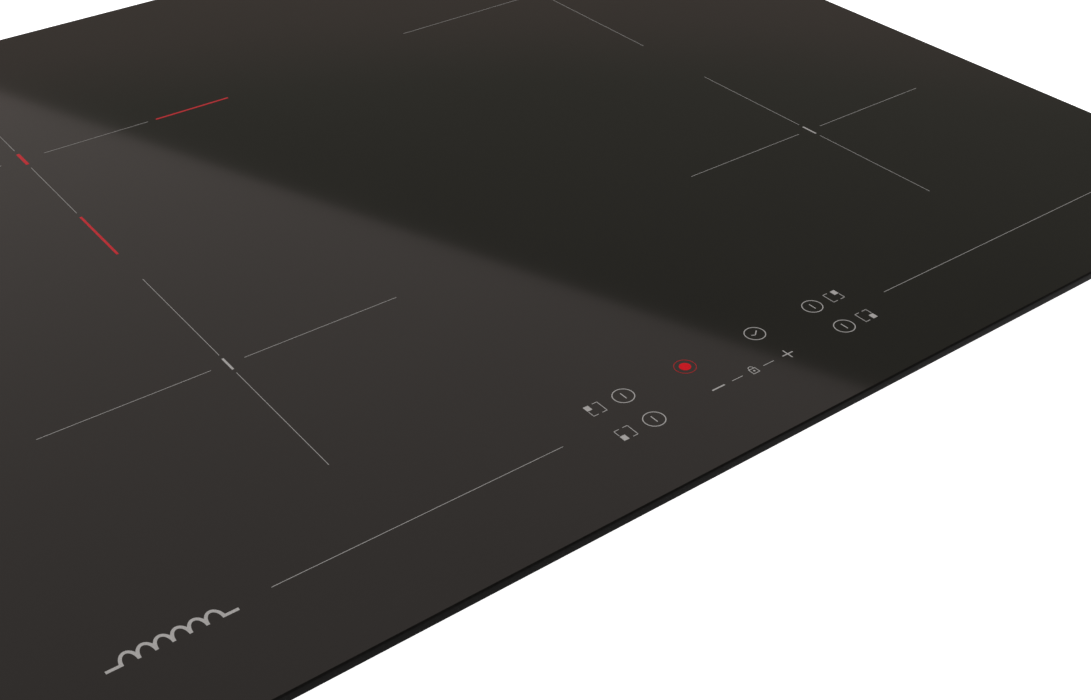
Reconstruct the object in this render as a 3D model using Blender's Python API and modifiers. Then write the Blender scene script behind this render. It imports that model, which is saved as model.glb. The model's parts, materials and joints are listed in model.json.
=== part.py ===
"""Built-in induction hob: a glass-ceramic top bonded to a steel frame, over a sheet-steel base tray.

The row frame has its origin at the centre of the tray's underside, +X to the user's right, +Y to the back
and +Z up. Four windings lie on two sprung coil decks under the glass. Below them, two blowers draw air in
through the tray and push it over the heatsinks and out of the rear louvres. Four clamps on the tray's sides
rise on their screws and swing out under the worktop.
"""

import math

import bmesh
import bpy
from mathutils import Matrix, Vector

MM = 0.001
GAP = 0.3 * MM  # clearance between pieces that rest on, or fit in, each other
SHARP_ANGLE = math.radians(40)  # edges sharper than this stay sharp where a piece is shaded smooth

# Driving dimensions
HEIGHT = 58 * MM
GLASS_WIDTH = 590 * MM
GLASS_DEPTH = 520 * MM
GLASS_THICKNESS = 4 * MM
GLASS_CORNER = 7 * MM
CUTOUT_WIDTH = 560 * MM
CUTOUT_DEPTH = 490 * MM
TRAY_WIDTH = 541 * MM
TRAY_DEPTH = 482 * MM
TRAY_CORNER = 8 * MM
TRAY_BEND = 2 * MM  # between the floor and the walls
FLOOR_FRONT_Y = -213 * MM
SLOPE_TOP = 33 * MM  # the front wall slopes from here down and back to the floor
SHEET = 1 * MM

# Heights, counted down from the glass
GLASS_BOTTOM = HEIGHT - GLASS_THICKNESS
TRAY_TOP = GLASS_BOTTOM - 2 * MM
MICA_TOP = GLASS_BOTTOM - GAP
MICA_THICKNESS = 0.6 * MM
WINDING_TOP = MICA_TOP - MICA_THICKNESS - GAP
WINDING_HEIGHT = 3.6 * MM
FORMER_TOP = WINDING_TOP - WINDING_HEIGHT - GAP
FORMER_THICKNESS = 1.8 * MM
FERRITE_TOP = FORMER_TOP - FORMER_THICKNESS - GAP
FERRITE_THICKNESS = 4 * MM
PLATE_TOP = FERRITE_TOP - FERRITE_THICKNESS - GAP
PLATE_THICKNESS = 1.5 * MM
RAIL_TOP = 34 * MM
RAIL_HEIGHT = 8 * MM
BOARD_BOTTOM = 8.3 * MM
BOARD_THICKNESS = 1.6 * MM
BOARD_TOP = BOARD_BOTTOM + BOARD_THICKNESS

# Plan positions
COLUMN_X = 162.5 * MM  # blower, heatsink and springs of each side
ZONES = {  # name: (centre x, centre y, windings as (inner radius, outer radius, turns, steps a turn))
    "front_left": (-150.2 * MM, -96.9 * MM, [(24 * MM, 72 * MM, 8, 12)]),
    "rear_left": (-150.2 * MM, 115.4 * MM, [(24 * MM, 62 * MM, 6, 12), (74 * MM, 102 * MM, 5, 16)]),
    "front_right": (169.6 * MM, -93.9 * MM, [(24 * MM, 72 * MM, 8, 12)]),
    "rear_right": (169.6 * MM, 128.3 * MM, [(24 * MM, 90 * MM, 10, 14)]),
}
SIDES = {"left": -1, "right": 1}
CORNERS = {"front_left": (-1, -1), "rear_left": (-1, 1), "front_right": (1, -1), "rear_right": (1, 1)}
POWER_KEY = (-10.4 * MM, -206.6 * MM)
FAN_Y = -113 * MM
FAN_SIZE = 92 * MM
FAN_BOTTOM = SHEET + GAP
FAN_TOP = FAN_BOTTOM + 28 * MM
RAIL_YS = {"front": -172 * MM, "rear": 152 * MM}
DECK_FRONT_Y = -182 * MM
DECK_REAR_Y = 232 * MM
BOARD_CENTRE_Y = 45 * MM
BOARD_SIZE = (196 * MM, 150 * MM)
FILTER_Y = 31 * MM
FILTER_SIZE = (96 * MM, 190 * MM)
CONTROL_Y = -214.5 * MM
CONTROL_SIZE = (216 * MM, 48 * MM)
CONTROL_BOTTOM = 44 * MM
CONTROL_WALL = 1.5 * MM
CONNECTOR_Y = CONTROL_Y + 13 * MM
CLAMP_Y = 150 * MM
CLAMP_X = TRAY_WIDTH / 2 + 4.8 * MM
TAB_BOTTOM = 28 * MM
CASE_SCREW_Y = 200 * MM
CASE_SCREW_Z = 46 * MM
TERMINAL_X = 182 * MM
CABLE_X = 132 * MM
CABLE_Z = 12 * MM
COVER_WIDTH = 64 * MM
COVER_EAR_X = COVER_WIDTH / 2 + 1.8 * MM  # from the middle of the cover
COVER_AXIS_Z = 7 * MM
COVER_AXIS_Y = TRAY_DEPTH / 2 + 2.2 * MM

FINISHES = {  # name: (base colour, metallic, roughness)
    "black_glass": ((0.012, 0.011, 0.010), 0.0, 0.06),
    "foam": ((0.03, 0.03, 0.03), 0.0, 0.9),
    "galvanised_steel": ((0.56, 0.57, 0.58), 1.0, 0.42),
    "spring_steel": ((0.40, 0.40, 0.42), 1.0, 0.3),
    "zinc_screw": ((0.72, 0.70, 0.62), 1.0, 0.28),
    "aluminium": ((0.78, 0.79, 0.80), 1.0, 0.38),
    "copper": ((0.72, 0.36, 0.18), 1.0, 0.35),
    "ferrite": ((0.05, 0.05, 0.055), 0.0, 0.6),
    "mica": ((0.78, 0.74, 0.66), 0.0, 0.7),
    "black_plastic": ((0.025, 0.025, 0.027), 0.0, 0.5),
    "white_plastic": ((0.78, 0.78, 0.76), 0.0, 0.45),
    "circuit_board": ((0.03, 0.16, 0.07), 0.0, 0.4),
    "silicone": ((0.75, 0.74, 0.72), 0.0, 0.55),
    "light_guide": ((0.75, 0.08, 0.08), 0.0, 0.2),
}


# ---------------------------------------------------------------- scene and helpers
for old in list(bpy.data.objects):
    bpy.data.objects.remove(old, do_unlink=True)
HOB = bpy.data.collections.new("induction_hob")
TOOLS = bpy.data.collections.new("cutters")
bpy.context.scene.collection.children.link(HOB)
bpy.context.scene.collection.children.link(TOOLS)


def finish_material(finish):
    """The Principled material of this finish, made once."""
    if finish in bpy.data.materials:
        return bpy.data.materials[finish]
    colour, metallic, roughness = FINISHES[finish]
    material = bpy.data.materials.new(finish)
    material.use_nodes = True
    shader = material.node_tree.nodes["Principled BSDF"]
    shader.inputs["Base Color"].default_value = (*colour, 1)
    shader.inputs["Metallic"].default_value = metallic
    shader.inputs["Roughness"].default_value = roughness
    material.diffuse_color = (*colour, 1)
    return material


def add_part(name, data, finish, location=(0, 0, 0), parent=None):
    """One sub-part. location is in the row frame, also for a part with a parent empty."""
    part = bpy.data.objects.new(name, data)
    data.materials.append(finish_material(finish))
    if part.type == "MESH":
        data.shade_smooth()
        data.set_sharp_from_angle(angle=SHARP_ANGLE)
    HOB.objects.link(part)
    part.location = location
    if parent:
        part.parent = parent
        part.location = Vector(location) - parent.location
    return part


def add_empty(name, location):
    empty = bpy.data.objects.new(name, None)
    HOB.objects.link(empty)
    empty.location = location
    return empty


def combine(part, operation, mesh):
    """Cuts a mesh from the part (DIFFERENCE) or joins it on (UNION), in the part's own frame."""
    tool = bpy.data.objects.new(f"{part.name}_{operation.lower()}", mesh)
    TOOLS.objects.link(tool)
    tool.hide_render = True
    tool.display_type = "WIRE"
    tool.parent = part
    modifier = part.modifiers.new(operation.title(), "BOOLEAN")
    modifier.operation = operation
    modifier.object = tool


def solids_mesh(name, boxes=(), rods=()):
    """A mesh of separate boxes (centre, size) and rods (centre, radius, length, axis letter)."""
    mesh_data = bmesh.new()
    for centre, size in boxes:
        matrix = Matrix.Translation(centre) @ Matrix.Diagonal((*size, 1))
        bmesh.ops.create_cube(mesh_data, size=1, matrix=matrix)
    for centre, radius, length, axis in rods:
        turn = {"X": Matrix.Rotation(math.pi / 2, 4, "Y"), "Y": Matrix.Rotation(math.pi / 2, 4, "X")}
        matrix = Matrix.Translation(centre) @ turn.get(axis, Matrix.Identity(4))
        bmesh.ops.create_cone(
            mesh_data,
            cap_ends=True,
            segments=16,
            radius1=radius,
            radius2=radius,
            depth=length,
            matrix=matrix,
        )
    mesh = bpy.data.meshes.new(name)
    mesh_data.to_mesh(mesh)
    mesh_data.free()
    return mesh


def plate_mesh(name, outlines, thickness):
    """A flat plate from closed outlines, the later ones being holes in the first, centred on z = 0."""
    curve = bpy.data.curves.new(name, "CURVE")
    curve.dimensions = "2D"
    curve.fill_mode = "BOTH"
    curve.extrude = thickness / 2
    for outline in outlines:
        spline = curve.splines.new("POLY")
        spline.points.add(len(outline) - 1)
        for point, (x, y) in zip(spline.points, outline):
            point.co = (x, y, 0, 1)
        spline.use_cyclic_u = True
    guide = bpy.data.objects.new(name, curve)
    TOOLS.objects.link(guide)
    bpy.context.view_layer.update()
    evaluated = guide.evaluated_get(bpy.context.evaluated_depsgraph_get())
    mesh = bpy.data.meshes.new_from_object(evaluated)
    bpy.data.objects.remove(guide, do_unlink=True)
    mesh_data = bmesh.new()
    mesh_data.from_mesh(mesh)
    bmesh.ops.remove_doubles(mesh_data, verts=mesh_data.verts, dist=0.001 * MM)
    bmesh.ops.recalc_face_normals(mesh_data, faces=mesh_data.faces)
    mesh_data.to_mesh(mesh)
    mesh_data.free()
    mesh.name = name
    return mesh


def shell_mesh(name, loops, closed_bottom=False):
    """An open surface through loops of (x, y, z) points, for Solidify. The first loop can be filled."""
    mesh_data = bmesh.new()
    rings = [[mesh_data.verts.new(point) for point in loop] for loop in loops]
    for lower, upper in zip(rings, rings[1:]):
        for i in range(len(lower)):
            j = (i + 1) % len(lower)
            mesh_data.faces.new((lower[i], lower[j], upper[j], upper[i]))
    if closed_bottom:
        mesh_data.faces.new(list(reversed(rings[0])))
    mesh = bpy.data.meshes.new(name)
    mesh_data.to_mesh(mesh)
    mesh_data.free()
    return mesh


def strip_mesh(name, path, width):
    """An open strip that follows a path of (x, z) points, its width along Y, for Solidify."""
    count = len(path)
    points = [(x, side * width / 2, z) for side in (-1, 1) for x, z in path]
    faces = [(i, i + 1, count + i + 1, count + i) for i in range(count - 1)]
    mesh = bpy.data.meshes.new(name)
    mesh.from_pydata(points, [], faces)
    return mesh


def add_solidify(part, thickness, offset=-1):
    """Gives a surface its sheet thickness: offset -1 adds it behind the faces, and 1 in front of them."""
    modifier = part.modifiers.new("Sheet", "SOLIDIFY")
    modifier.thickness = thickness
    modifier.offset = offset
    modifier.use_even_offset = True


def add_turned(name, profile, steps, finish, location, parent=None, closed=True):
    """A turned piece about Z. The (radius, z) profile runs down its outer side; a closed one has a bore."""
    mesh = bpy.data.meshes.new(name)
    count = len(profile)
    edges = [(i, (i + 1) % count) for i in range(count if closed else count - 1)]
    mesh.from_pydata([(radius, 0, z) for radius, z in profile], edges, [])
    part = add_part(name, mesh, finish, location, parent)
    modifier = part.modifiers.new("Turn", "SCREW")
    modifier.steps = steps
    modifier.render_steps = steps
    modifier.use_merge_vertices = True
    modifier.merge_threshold = 0.01 * MM
    return part


def rounded_rectangle(width, depth, radius, steps=5, centre=(0, 0)):
    """Points of a rectangle with arcs of this radius at its corners, anticlockwise."""
    points = []
    for quarter, (sign_x, sign_y) in enumerate([(1, 1), (-1, 1), (-1, -1), (1, -1)]):
        corner_x = centre[0] + sign_x * (width / 2 - radius)
        corner_y = centre[1] + sign_y * (depth / 2 - radius)
        turn = math.pi / 2 * quarter
        points += arc(radius, turn, turn + math.pi / 2, steps, (corner_x, corner_y))
    return points


def arc(radius, start, stop, steps, centre=(0, 0)):
    """Points from one angle to another, with both ends."""
    x, y = centre
    angles = [start + (stop - start) * i / steps for i in range(steps + 1)]
    return [(x + radius * math.cos(angle), y + radius * math.sin(angle)) for angle in angles]


def circle(radius, centre=(0, 0), steps=20):
    return arc(radius, 0, math.tau, steps, centre)[:-1]


def at_height(outline, z):
    return [(x, y, z) for x, y in outline]


# ---------------------------------------------------------------- glass, seal and frame
def build_glass():
    """The 4 mm plate, with its edges ground round."""
    outline = rounded_rectangle(GLASS_WIDTH, GLASS_DEPTH, GLASS_CORNER, 6)
    mesh = plate_mesh("glass_top", [outline], GLASS_THICKNESS)
    glass = add_part("glass_top", mesh, "black_glass", (0, 0, GLASS_BOTTOM + GLASS_THICKNESS / 2))
    edge = glass.modifiers.new("Ground edge", "BEVEL")
    edge.width = 0.8 * MM
    edge.segments = 2
    edge.limit_method = "ANGLE"
    edge.angle_limit = math.radians(60)


def build_seal():
    """Foam strip under the glass's rim, which lands on the worktop."""
    thickness = 2.7 * MM
    outer = rounded_rectangle(GLASS_WIDTH - 6 * MM, GLASS_DEPTH - 6 * MM, 6 * MM)
    inner = rounded_rectangle(CUTOUT_WIDTH, CUTOUT_DEPTH + 11 * MM, 4 * MM)
    mesh = plate_mesh("perimeter_seal", [outer, inner], thickness)
    add_part("perimeter_seal", mesh, "foam", (0, 0, GLASS_BOTTOM - GAP - thickness / 2))


def build_frame():
    """Folded frame: a flange bonded to the glass, and a skirt that the tray slides up into."""
    skirt = 13 * MM
    flange = 8 * MM
    inner = TRAY_WIDTH + 2 * GAP, TRAY_DEPTH + 2 * GAP
    top = GLASS_BOTTOM - GAP
    outer = inner[0] + 2 * flange, inner[1] + 2 * flange
    skirt_line = rounded_rectangle(*inner, TRAY_CORNER + GAP)
    flange_line = rounded_rectangle(*outer, TRAY_CORNER + GAP + 2 * MM)
    loops = [at_height(skirt_line, top - skirt), at_height(skirt_line, top), at_height(flange_line, top)]
    frame = add_part("glass_frame", shell_mesh("glass_frame", loops), "galvanised_steel")
    add_solidify(frame, SHEET, offset=1)
    combine(frame, "DIFFERENCE", solids_mesh("screw_holes", rods=case_screw_holes()))


# ---------------------------------------------------------------- base tray
def case_screw_holes():
    """Rods through the skirt and the tray wall for the four side screws."""
    radius, reach = 1.8 * MM, 10 * MM
    spots = [(side * TRAY_WIDTH / 2, end * CASE_SCREW_Y, CASE_SCREW_Z) for side, end in CORNERS.values()]
    return [(spot, radius, reach, "X") for spot in spots]


def intake_slots():
    """Slots under each blower, cut to the chord of a round grille."""
    slots = []
    grille_radius, pitch, width = 34 * MM, 8 * MM, 4 * MM
    for side in SIDES.values():
        for row in range(-3, 4):
            chord = 2 * math.sqrt(grille_radius**2 - (row * pitch) ** 2)
            centre = (side * COLUMN_X, FAN_Y + row * pitch, SHEET / 2)
            slots.append((centre, (chord, width, 6 * MM)))
    return slots


def slot_row(first_x, count, y, z, height, reach=8 * MM):
    """Upright louvre slots through a wall at this y."""
    pitch, width = 9 * MM, 4.5 * MM
    return [((first_x + i * pitch, y, z), (width, reach, height)) for i in range(count)]


def tabs_and_ears():
    """Boxes on the outside of the walls: tabs for the clamp screws, ears for the terminal cover's pegs."""
    root = 0.5 * MM  # how far each reaches into its wall
    tab_reach, ear_reach = 9 * MM, 4.2 * MM
    tab_x = TRAY_WIDTH / 2 + tab_reach / 2 - root
    tab_size = (tab_reach + root, 16 * MM, 2 * MM)
    ear_y = TRAY_DEPTH / 2 + ear_reach / 2 - root
    ear_size = (2 * MM, ear_reach, 6 * MM)
    tabs = [((side * tab_x, end * CLAMP_Y, TAB_BOTTOM + MM), tab_size) for side, end in CORNERS.values()]
    ears = [((TERMINAL_X + side * COVER_EAR_X, ear_y, COVER_AXIS_Z), ear_size) for side in SIDES.values()]
    return solids_mesh("tabs_and_ears", boxes=tabs + ears)


def slots_and_holes():
    """Everything cut through the tray: grilles, louvres, the terminal opening and the round holes."""
    rear, slope_y, slope_reach = TRAY_DEPTH / 2, -227 * MM, 34 * MM
    louvre_z, louvre_height = 24 * MM, 26 * MM
    vent_z, vent_height = 17 * MM, 18 * MM
    slots = intake_slots()
    slots += slot_row(-242 * MM, 17, rear, louvre_z, louvre_height)
    slots += slot_row(-72 * MM, 19, rear, louvre_z, louvre_height)
    slots += slot_row(-242 * MM, 9, slope_y, vent_z, vent_height, slope_reach)
    slots += slot_row(170 * MM, 9, slope_y, vent_z, vent_height, slope_reach)
    slots.append(((TERMINAL_X, rear, 24 * MM), (56 * MM, 8 * MM, 26 * MM)))
    holes = case_screw_holes()
    for side, end in CORNERS.values():
        holes.append(((side * CLAMP_X, end * CLAMP_Y, TAB_BOTTOM + MM), 2.3 * MM, 6 * MM, "Z"))
    for side in SIDES.values():
        peg_x = TERMINAL_X + side * COVER_EAR_X
        holes.append(((peg_x, COVER_AXIS_Y, COVER_AXIS_Z), 1.2 * MM, 4 * MM, "X"))
    holes.append(((CABLE_X, rear, CABLE_Z), 6.5 * MM, 8 * MM, "Y"))
    return solids_mesh("slots_and_holes", boxes=slots, rods=holes)


def build_tray():
    """Folded steel tray: a bend all round its floor, and a front wall that slopes back below the worktop."""
    bend, rear, front = TRAY_BEND, TRAY_DEPTH / 2, -TRAY_DEPTH / 2
    bend_front = FLOOR_FRONT_Y + (front - FLOOR_FRONT_Y) * bend / SLOPE_TOP
    middle = (0, (rear + bend_front) / 2)
    low_depth = rear - bend_front
    wall = rounded_rectangle(TRAY_WIDTH, TRAY_DEPTH, TRAY_CORNER)
    low_wall = rounded_rectangle(TRAY_WIDTH, low_depth, TRAY_CORNER, centre=middle)
    floor = rounded_rectangle(TRAY_WIDTH - 2 * bend, low_depth - 2 * bend, TRAY_CORNER - bend, centre=middle)
    heights = [(floor, 0), (low_wall, bend), (wall, SLOPE_TOP), (wall, TRAY_TOP)]
    loops = [at_height(outline, z) for outline, z in heights]
    tray = add_part("base_tray", shell_mesh("base_tray", loops, closed_bottom=True), "galvanised_steel")
    add_solidify(tray, SHEET)
    combine(tray, "UNION", tabs_and_ears())
    combine(tray, "DIFFERENCE", slots_and_holes())


def build_case_screws():
    """Pan-head screws that hold the frame's skirt to the tray."""
    head_radius, shank_radius, length = 3.4 * MM, 1.45 * MM, 7 * MM
    profile = [
        (0, 2 * MM),
        (2.2 * MM, 2 * MM),
        (head_radius, 0.9 * MM),
        (head_radius, 0),
        (shank_radius, 0),
        (shank_radius, -length + MM),
        (0, -length),
    ]
    for place, (side, end) in CORNERS.items():
        seat = (side * (TRAY_WIDTH / 2 + SHEET + 2 * GAP), end * CASE_SCREW_Y, CASE_SCREW_Z)
        screw = add_turned(f"case_screw_{place}", profile, 12, "zinc_screw", seat, closed=False)
        screw.rotation_euler = (0, side * math.pi / 2, 0)


# ---------------------------------------------------------------- worktop clamps
def build_clamps():
    """Each clamp arm rests on its screw's head, turns about the screw and rises with it."""
    head_top, arm_thickness, shank_radius = 6.5 * MM, 2.5 * MM, 2 * MM
    screw_profile = [
        (0, 34 * MM),
        (1.2 * MM, 34 * MM),
        (shank_radius, 32.5 * MM),
        (shank_radius, head_top),
        (3.7 * MM, head_top),
        (3.7 * MM, 4 * MM),
        (2.9 * MM, 3 * MM),
        (0, 3 * MM),
    ]
    arm_width, arm_reach = 8.6 * MM, 33 * MM
    half = arm_width / 2
    outline = arc(half, math.pi, math.tau, 8) + [(half, arm_reach), (-half, arm_reach)]
    tooth = ((0, arm_reach - MM, arm_thickness / 2 + 1.3 * MM), (arm_width, 2 * MM, 3 * MM))
    for place, (side, end) in CORNERS.items():
        axis_point = (side * CLAMP_X, end * CLAMP_Y, 0)
        add_turned(f"clamp_screw_{place}", screw_profile, 12, "zinc_screw", axis_point, closed=False)
        mesh = plate_mesh(f"fixing_clamp_{place}", [outline, circle(2.3 * MM, steps=16)], arm_thickness)
        height = head_top + GAP + arm_thickness / 2
        arm = add_part(f"fixing_clamp_{place}", mesh, "spring_steel", (*axis_point[:2], height))
        combine(arm, "UNION", solids_mesh("tooth", boxes=[tooth]))
        if end > 0:
            arm.rotation_euler = (0, 0, math.pi)


# ---------------------------------------------------------------- mains terminals
def build_terminal_cover():
    """Cover over the rear opening. It turns outwards and down about pegs held in the tray's two ears."""
    bottom, top, thickness = 9 * MM, 39 * MM, 2 * MM
    plate_y = TRAY_DEPTH / 2 + GAP + thickness / 2
    centre = (0, plate_y - COVER_AXIS_Y, (bottom + top) / 2 - COVER_AXIS_Z)
    plate = solids_mesh("terminal_cover", boxes=[(centre, (COVER_WIDTH, thickness, top - bottom))])
    cover = add_part("terminal_cover", plate, "black_plastic", (TERMINAL_X, COVER_AXIS_Y, COVER_AXIS_Z))
    knuckle_width = 12 * MM
    knuckle_x = COVER_WIDTH / 2 - knuckle_width / 2 - 1 * MM
    finger_grip = ((0, 0.9 * MM, top - COVER_AXIS_Z - 2 * MM), (18 * MM, 1.8 * MM, 3 * MM))
    web_size = (knuckle_width, 2 * MM, 3.2 * MM)
    knuckle_webs = [((side * knuckle_x, -0.9 * MM, 1.6 * MM), web_size) for side in SIDES.values()]
    knuckles = [((side * knuckle_x, 0, 0), 1.85 * MM, knuckle_width, "X") for side in SIDES.values()]
    pegs = [((side * (COVER_WIDTH / 2), 0, 0), 1.0 * MM, 5 * MM, "X") for side in SIDES.values()]
    combine(cover, "UNION", solids_mesh("grip_and_webs", boxes=[finger_grip, *knuckle_webs]))
    combine(cover, "UNION", solids_mesh("knuckles", rods=knuckles))
    combine(cover, "UNION", solids_mesh("pegs", rods=pegs))


def build_terminal_block():
    """Five-pole block just inside the opening, with a funnel and a screw well for each pole."""
    width, depth, height, poles = 52 * MM, 24 * MM, 16 * MM, 5
    pitch = width / poles
    y = TRAY_DEPTH / 2 - 20 * MM
    base_z = SHEET + GAP + height / 2
    block = add_part(
        "terminal_block",
        solids_mesh("terminal_block", boxes=[((0, 0, 0), (width, depth, height))]),
        "white_plastic",
        (TERMINAL_X, y, base_z),
    )
    lefts = [-width / 2 + pitch * (i + 0.5) for i in range(poles)]
    funnels = [((x, depth / 2, -MM), (pitch - 3 * MM, 14 * MM, 6 * MM)) for x in lefts]
    wells = [((x, -3 * MM, height / 2), 2.4 * MM, 12 * MM, "Z") for x in lefts]
    combine(block, "DIFFERENCE", solids_mesh("funnels", boxes=funnels))
    combine(block, "DIFFERENCE", solids_mesh("wells", rods=wells))


def build_cable_entry():
    """Rubber strain-relief bush for the mains lead, in the rear wall."""
    neck, flange, bore = 6.1 * MM, 8.3 * MM, 4.6 * MM
    outside, inside = 2.4 * MM, -SHEET - 2.4 * MM
    profile = [
        (bore, outside),
        (flange, outside),
        (flange, GAP),
        (neck, GAP),
        (neck, -SHEET - GAP),
        (flange, -SHEET - GAP),
        (flange, inside),
        (bore, inside),
    ]
    bush = add_turned("cable_bush", profile, 20, "foam", (CABLE_X, TRAY_DEPTH / 2, CABLE_Z))
    bush.rotation_euler = (-math.pi / 2, 0, 0)


# ---------------------------------------------------------------- electronics
def build_electronics_tray():
    """Insulating tray with a rim and pillars for the three boards."""
    width, front, rear, thickness = 532 * MM, -66 * MM, 136 * MM, 2 * MM
    depth, centre_y = rear - front, (front + rear) / 2
    bottom = SHEET + GAP
    outline = rounded_rectangle(width, depth, 5 * MM, 3)
    tray = add_part(
        "electronics_tray",
        plate_mesh("electronics_tray", [outline], thickness),
        "black_plastic",
        (0, centre_y, bottom + thickness / 2),
    )
    pillar_top = BOARD_BOTTOM - GAP
    pillar_height = pillar_top - bottom
    pillar_z = pillar_height / 2 - thickness / 2
    pillar_size = (7 * MM, 7 * MM, pillar_height)
    from_edge = 6 * MM
    boards = [(side * COLUMN_X, BOARD_CENTRE_Y, BOARD_SIZE) for side in SIDES.values()]
    boards.append((0, FILTER_Y, FILTER_SIZE))
    pillars = []
    for x, y, (board_width, board_depth) in boards:
        reach_x, reach_y = board_width / 2 - from_edge, board_depth / 2 - from_edge
        for along_x in (-reach_x, reach_x):
            for along_y in (-reach_y, reach_y):
                pillars.append(((x + along_x, y + along_y - centre_y, pillar_z), pillar_size))
    rim_size = (width - 20 * MM, 2 * MM, 5 * MM)
    rim_y = depth / 2 - 1.5 * MM
    rims = [((0, side * rim_y, rim_size[2] / 2), rim_size) for side in (-1, 1)]
    combine(tray, "UNION", solids_mesh("pillars", boxes=pillars + rims))


def add_board(name, size, x, y, components, cans=(), z=BOARD_BOTTOM):
    """A circuit board with its soldered parts: boxes as (x, y, width, depth, height) and round cans."""
    root = 0.4 * MM
    board = add_part(
        name,
        solids_mesh(name, boxes=[((0, 0, 0), (*size, BOARD_THICKNESS))]),
        "circuit_board",
        (x, y, z + BOARD_THICKNESS / 2),
    )
    base = BOARD_THICKNESS / 2 - root
    boxes = [((cx, cy, base + (h + root) / 2), (w, d, h + root)) for cx, cy, w, d, h in components]
    rods = [((cx, cy, base + (h + root) / 2), r, h + root, "Z") for cx, cy, r, h in cans]
    combine(board, "UNION", solids_mesh("components", boxes=boxes, rods=rods))
    return board


def build_power_boards():
    """Inverter boards, one under each column of zones, with a finned heatsink each."""
    fin_height, base_height, fin, spacing, fins = 22 * MM, 5 * MM, 2 * MM, 6.2 * MM, 9
    length = 128 * MM
    sink_width = spacing * (fins - 1) + fin
    outline = [(-sink_width / 2, 0), (sink_width / 2, 0)]
    for i in reversed(range(fins)):
        left = -sink_width / 2 + i * spacing
        outline += [(left + fin, fin_height), (left, fin_height)]
        if i:
            outline += [(left, base_height), (left - spacing + fin, base_height)]
    for name, side in SIDES.items():
        components = [
            (side * 62 * MM, -40 * MM, 32 * MM, 22 * MM, 21 * MM),
            (side * 62 * MM, -10 * MM, 32 * MM, 22 * MM, 21 * MM),
            (side * 66 * MM, 28 * MM, 26 * MM, 18 * MM, 17 * MM),
            (-side * 66 * MM, -48 * MM, 26 * MM, 13 * MM, 14 * MM),
            (-side * 66 * MM, 50 * MM, 24 * MM, 18 * MM, 12 * MM),
        ]
        cans = [(-side * 58 * MM, 10 * MM, 11 * MM, 20 * MM), (-side * 78 * MM, -20 * MM, 6 * MM, 18 * MM)]
        add_board(f"power_board_{name}", BOARD_SIZE, side * COLUMN_X, BOARD_CENTRE_Y, components, cans)
        sink = add_part(
            f"heatsink_{name}",
            plate_mesh(f"heatsink_{name}", [outline], length),
            "aluminium",
            (side * COLUMN_X, BOARD_CENTRE_Y, BOARD_TOP + GAP),
        )
        sink.rotation_euler = (math.pi / 2, 0, 0)


def build_filter_board():
    """Mains filter and auxiliary supply, between the power boards."""
    components = [
        (-26 * MM, 70 * MM, 30 * MM, 18 * MM, 20 * MM),
        (22 * MM, 72 * MM, 26 * MM, 16 * MM, 17 * MM),
        (-24 * MM, 36 * MM, 34 * MM, 30 * MM, 23 * MM),
        (26 * MM, 30 * MM, 20 * MM, 30 * MM, 16 * MM),
        (0, -90 * MM, 24 * MM, 8 * MM, 5 * MM),
    ]
    cans = [(24 * MM, -6 * MM, 9 * MM, 20 * MM), (-22 * MM, -20 * MM, 12 * MM, 16 * MM)]
    add_board("filter_board", FILTER_SIZE, 0, FILTER_Y, components, cans)


# ---------------------------------------------------------------- blowers
def build_blowers():
    """Centrifugal blowers: air enters through the tray's grille and leaves towards the heatsink."""
    wall, cavity_radius, inlet_radius = 2 * MM, 40 * MM, 24 * MM
    height = FAN_TOP - FAN_BOTTOM
    cavity_height = height - 2 * wall
    cavity_z = FAN_BOTTOM + wall
    for name, side in SIDES.items():
        x = side * COLUMN_X
        mesh = plate_mesh("housing", [rounded_rectangle(FAN_SIZE, FAN_SIZE, 14 * MM, 4)], height)
        middle = (x, FAN_Y, FAN_BOTTOM + height / 2)
        housing = add_part(f"fan_housing_{name}", mesh, "black_plastic", middle)
        duct = [((20 * MM, FAN_SIZE / 2 - 8 * MM, 0), (38 * MM, FAN_SIZE / 2 + 10 * MM, cavity_height))]
        cavity = plate_mesh("scroll", [circle(cavity_radius, steps=28)], cavity_height)
        combine(housing, "DIFFERENCE", cavity)
        combine(housing, "DIFFERENCE", solids_mesh("duct", boxes=duct))
        inlet = plate_mesh("inlet", [circle(inlet_radius)], 3 * wall)
        inlet.transform(Matrix.Translation((0, 0, -height / 2)))
        combine(housing, "DIFFERENCE", inlet)
        # The motor hangs from the roof: a stator, and the shaft that the impeller turns on.
        stator_height, shaft_drop = 11 * MM, 18 * MM
        roof = height / 2 - wall + 0.5 * MM
        stator = ((0, 0, roof - stator_height / 2), 9.6 * MM, stator_height, "Z")
        shaft = ((0, 0, roof - shaft_drop / 2), 1.5 * MM, shaft_drop, "Z")
        combine(housing, "UNION", solids_mesh("stator", rods=[stator]))
        combine(housing, "UNION", solids_mesh("shaft", rods=[shaft]))
        build_impeller(f"fan_impeller_{name}", x, cavity_z, cavity_height)


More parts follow.
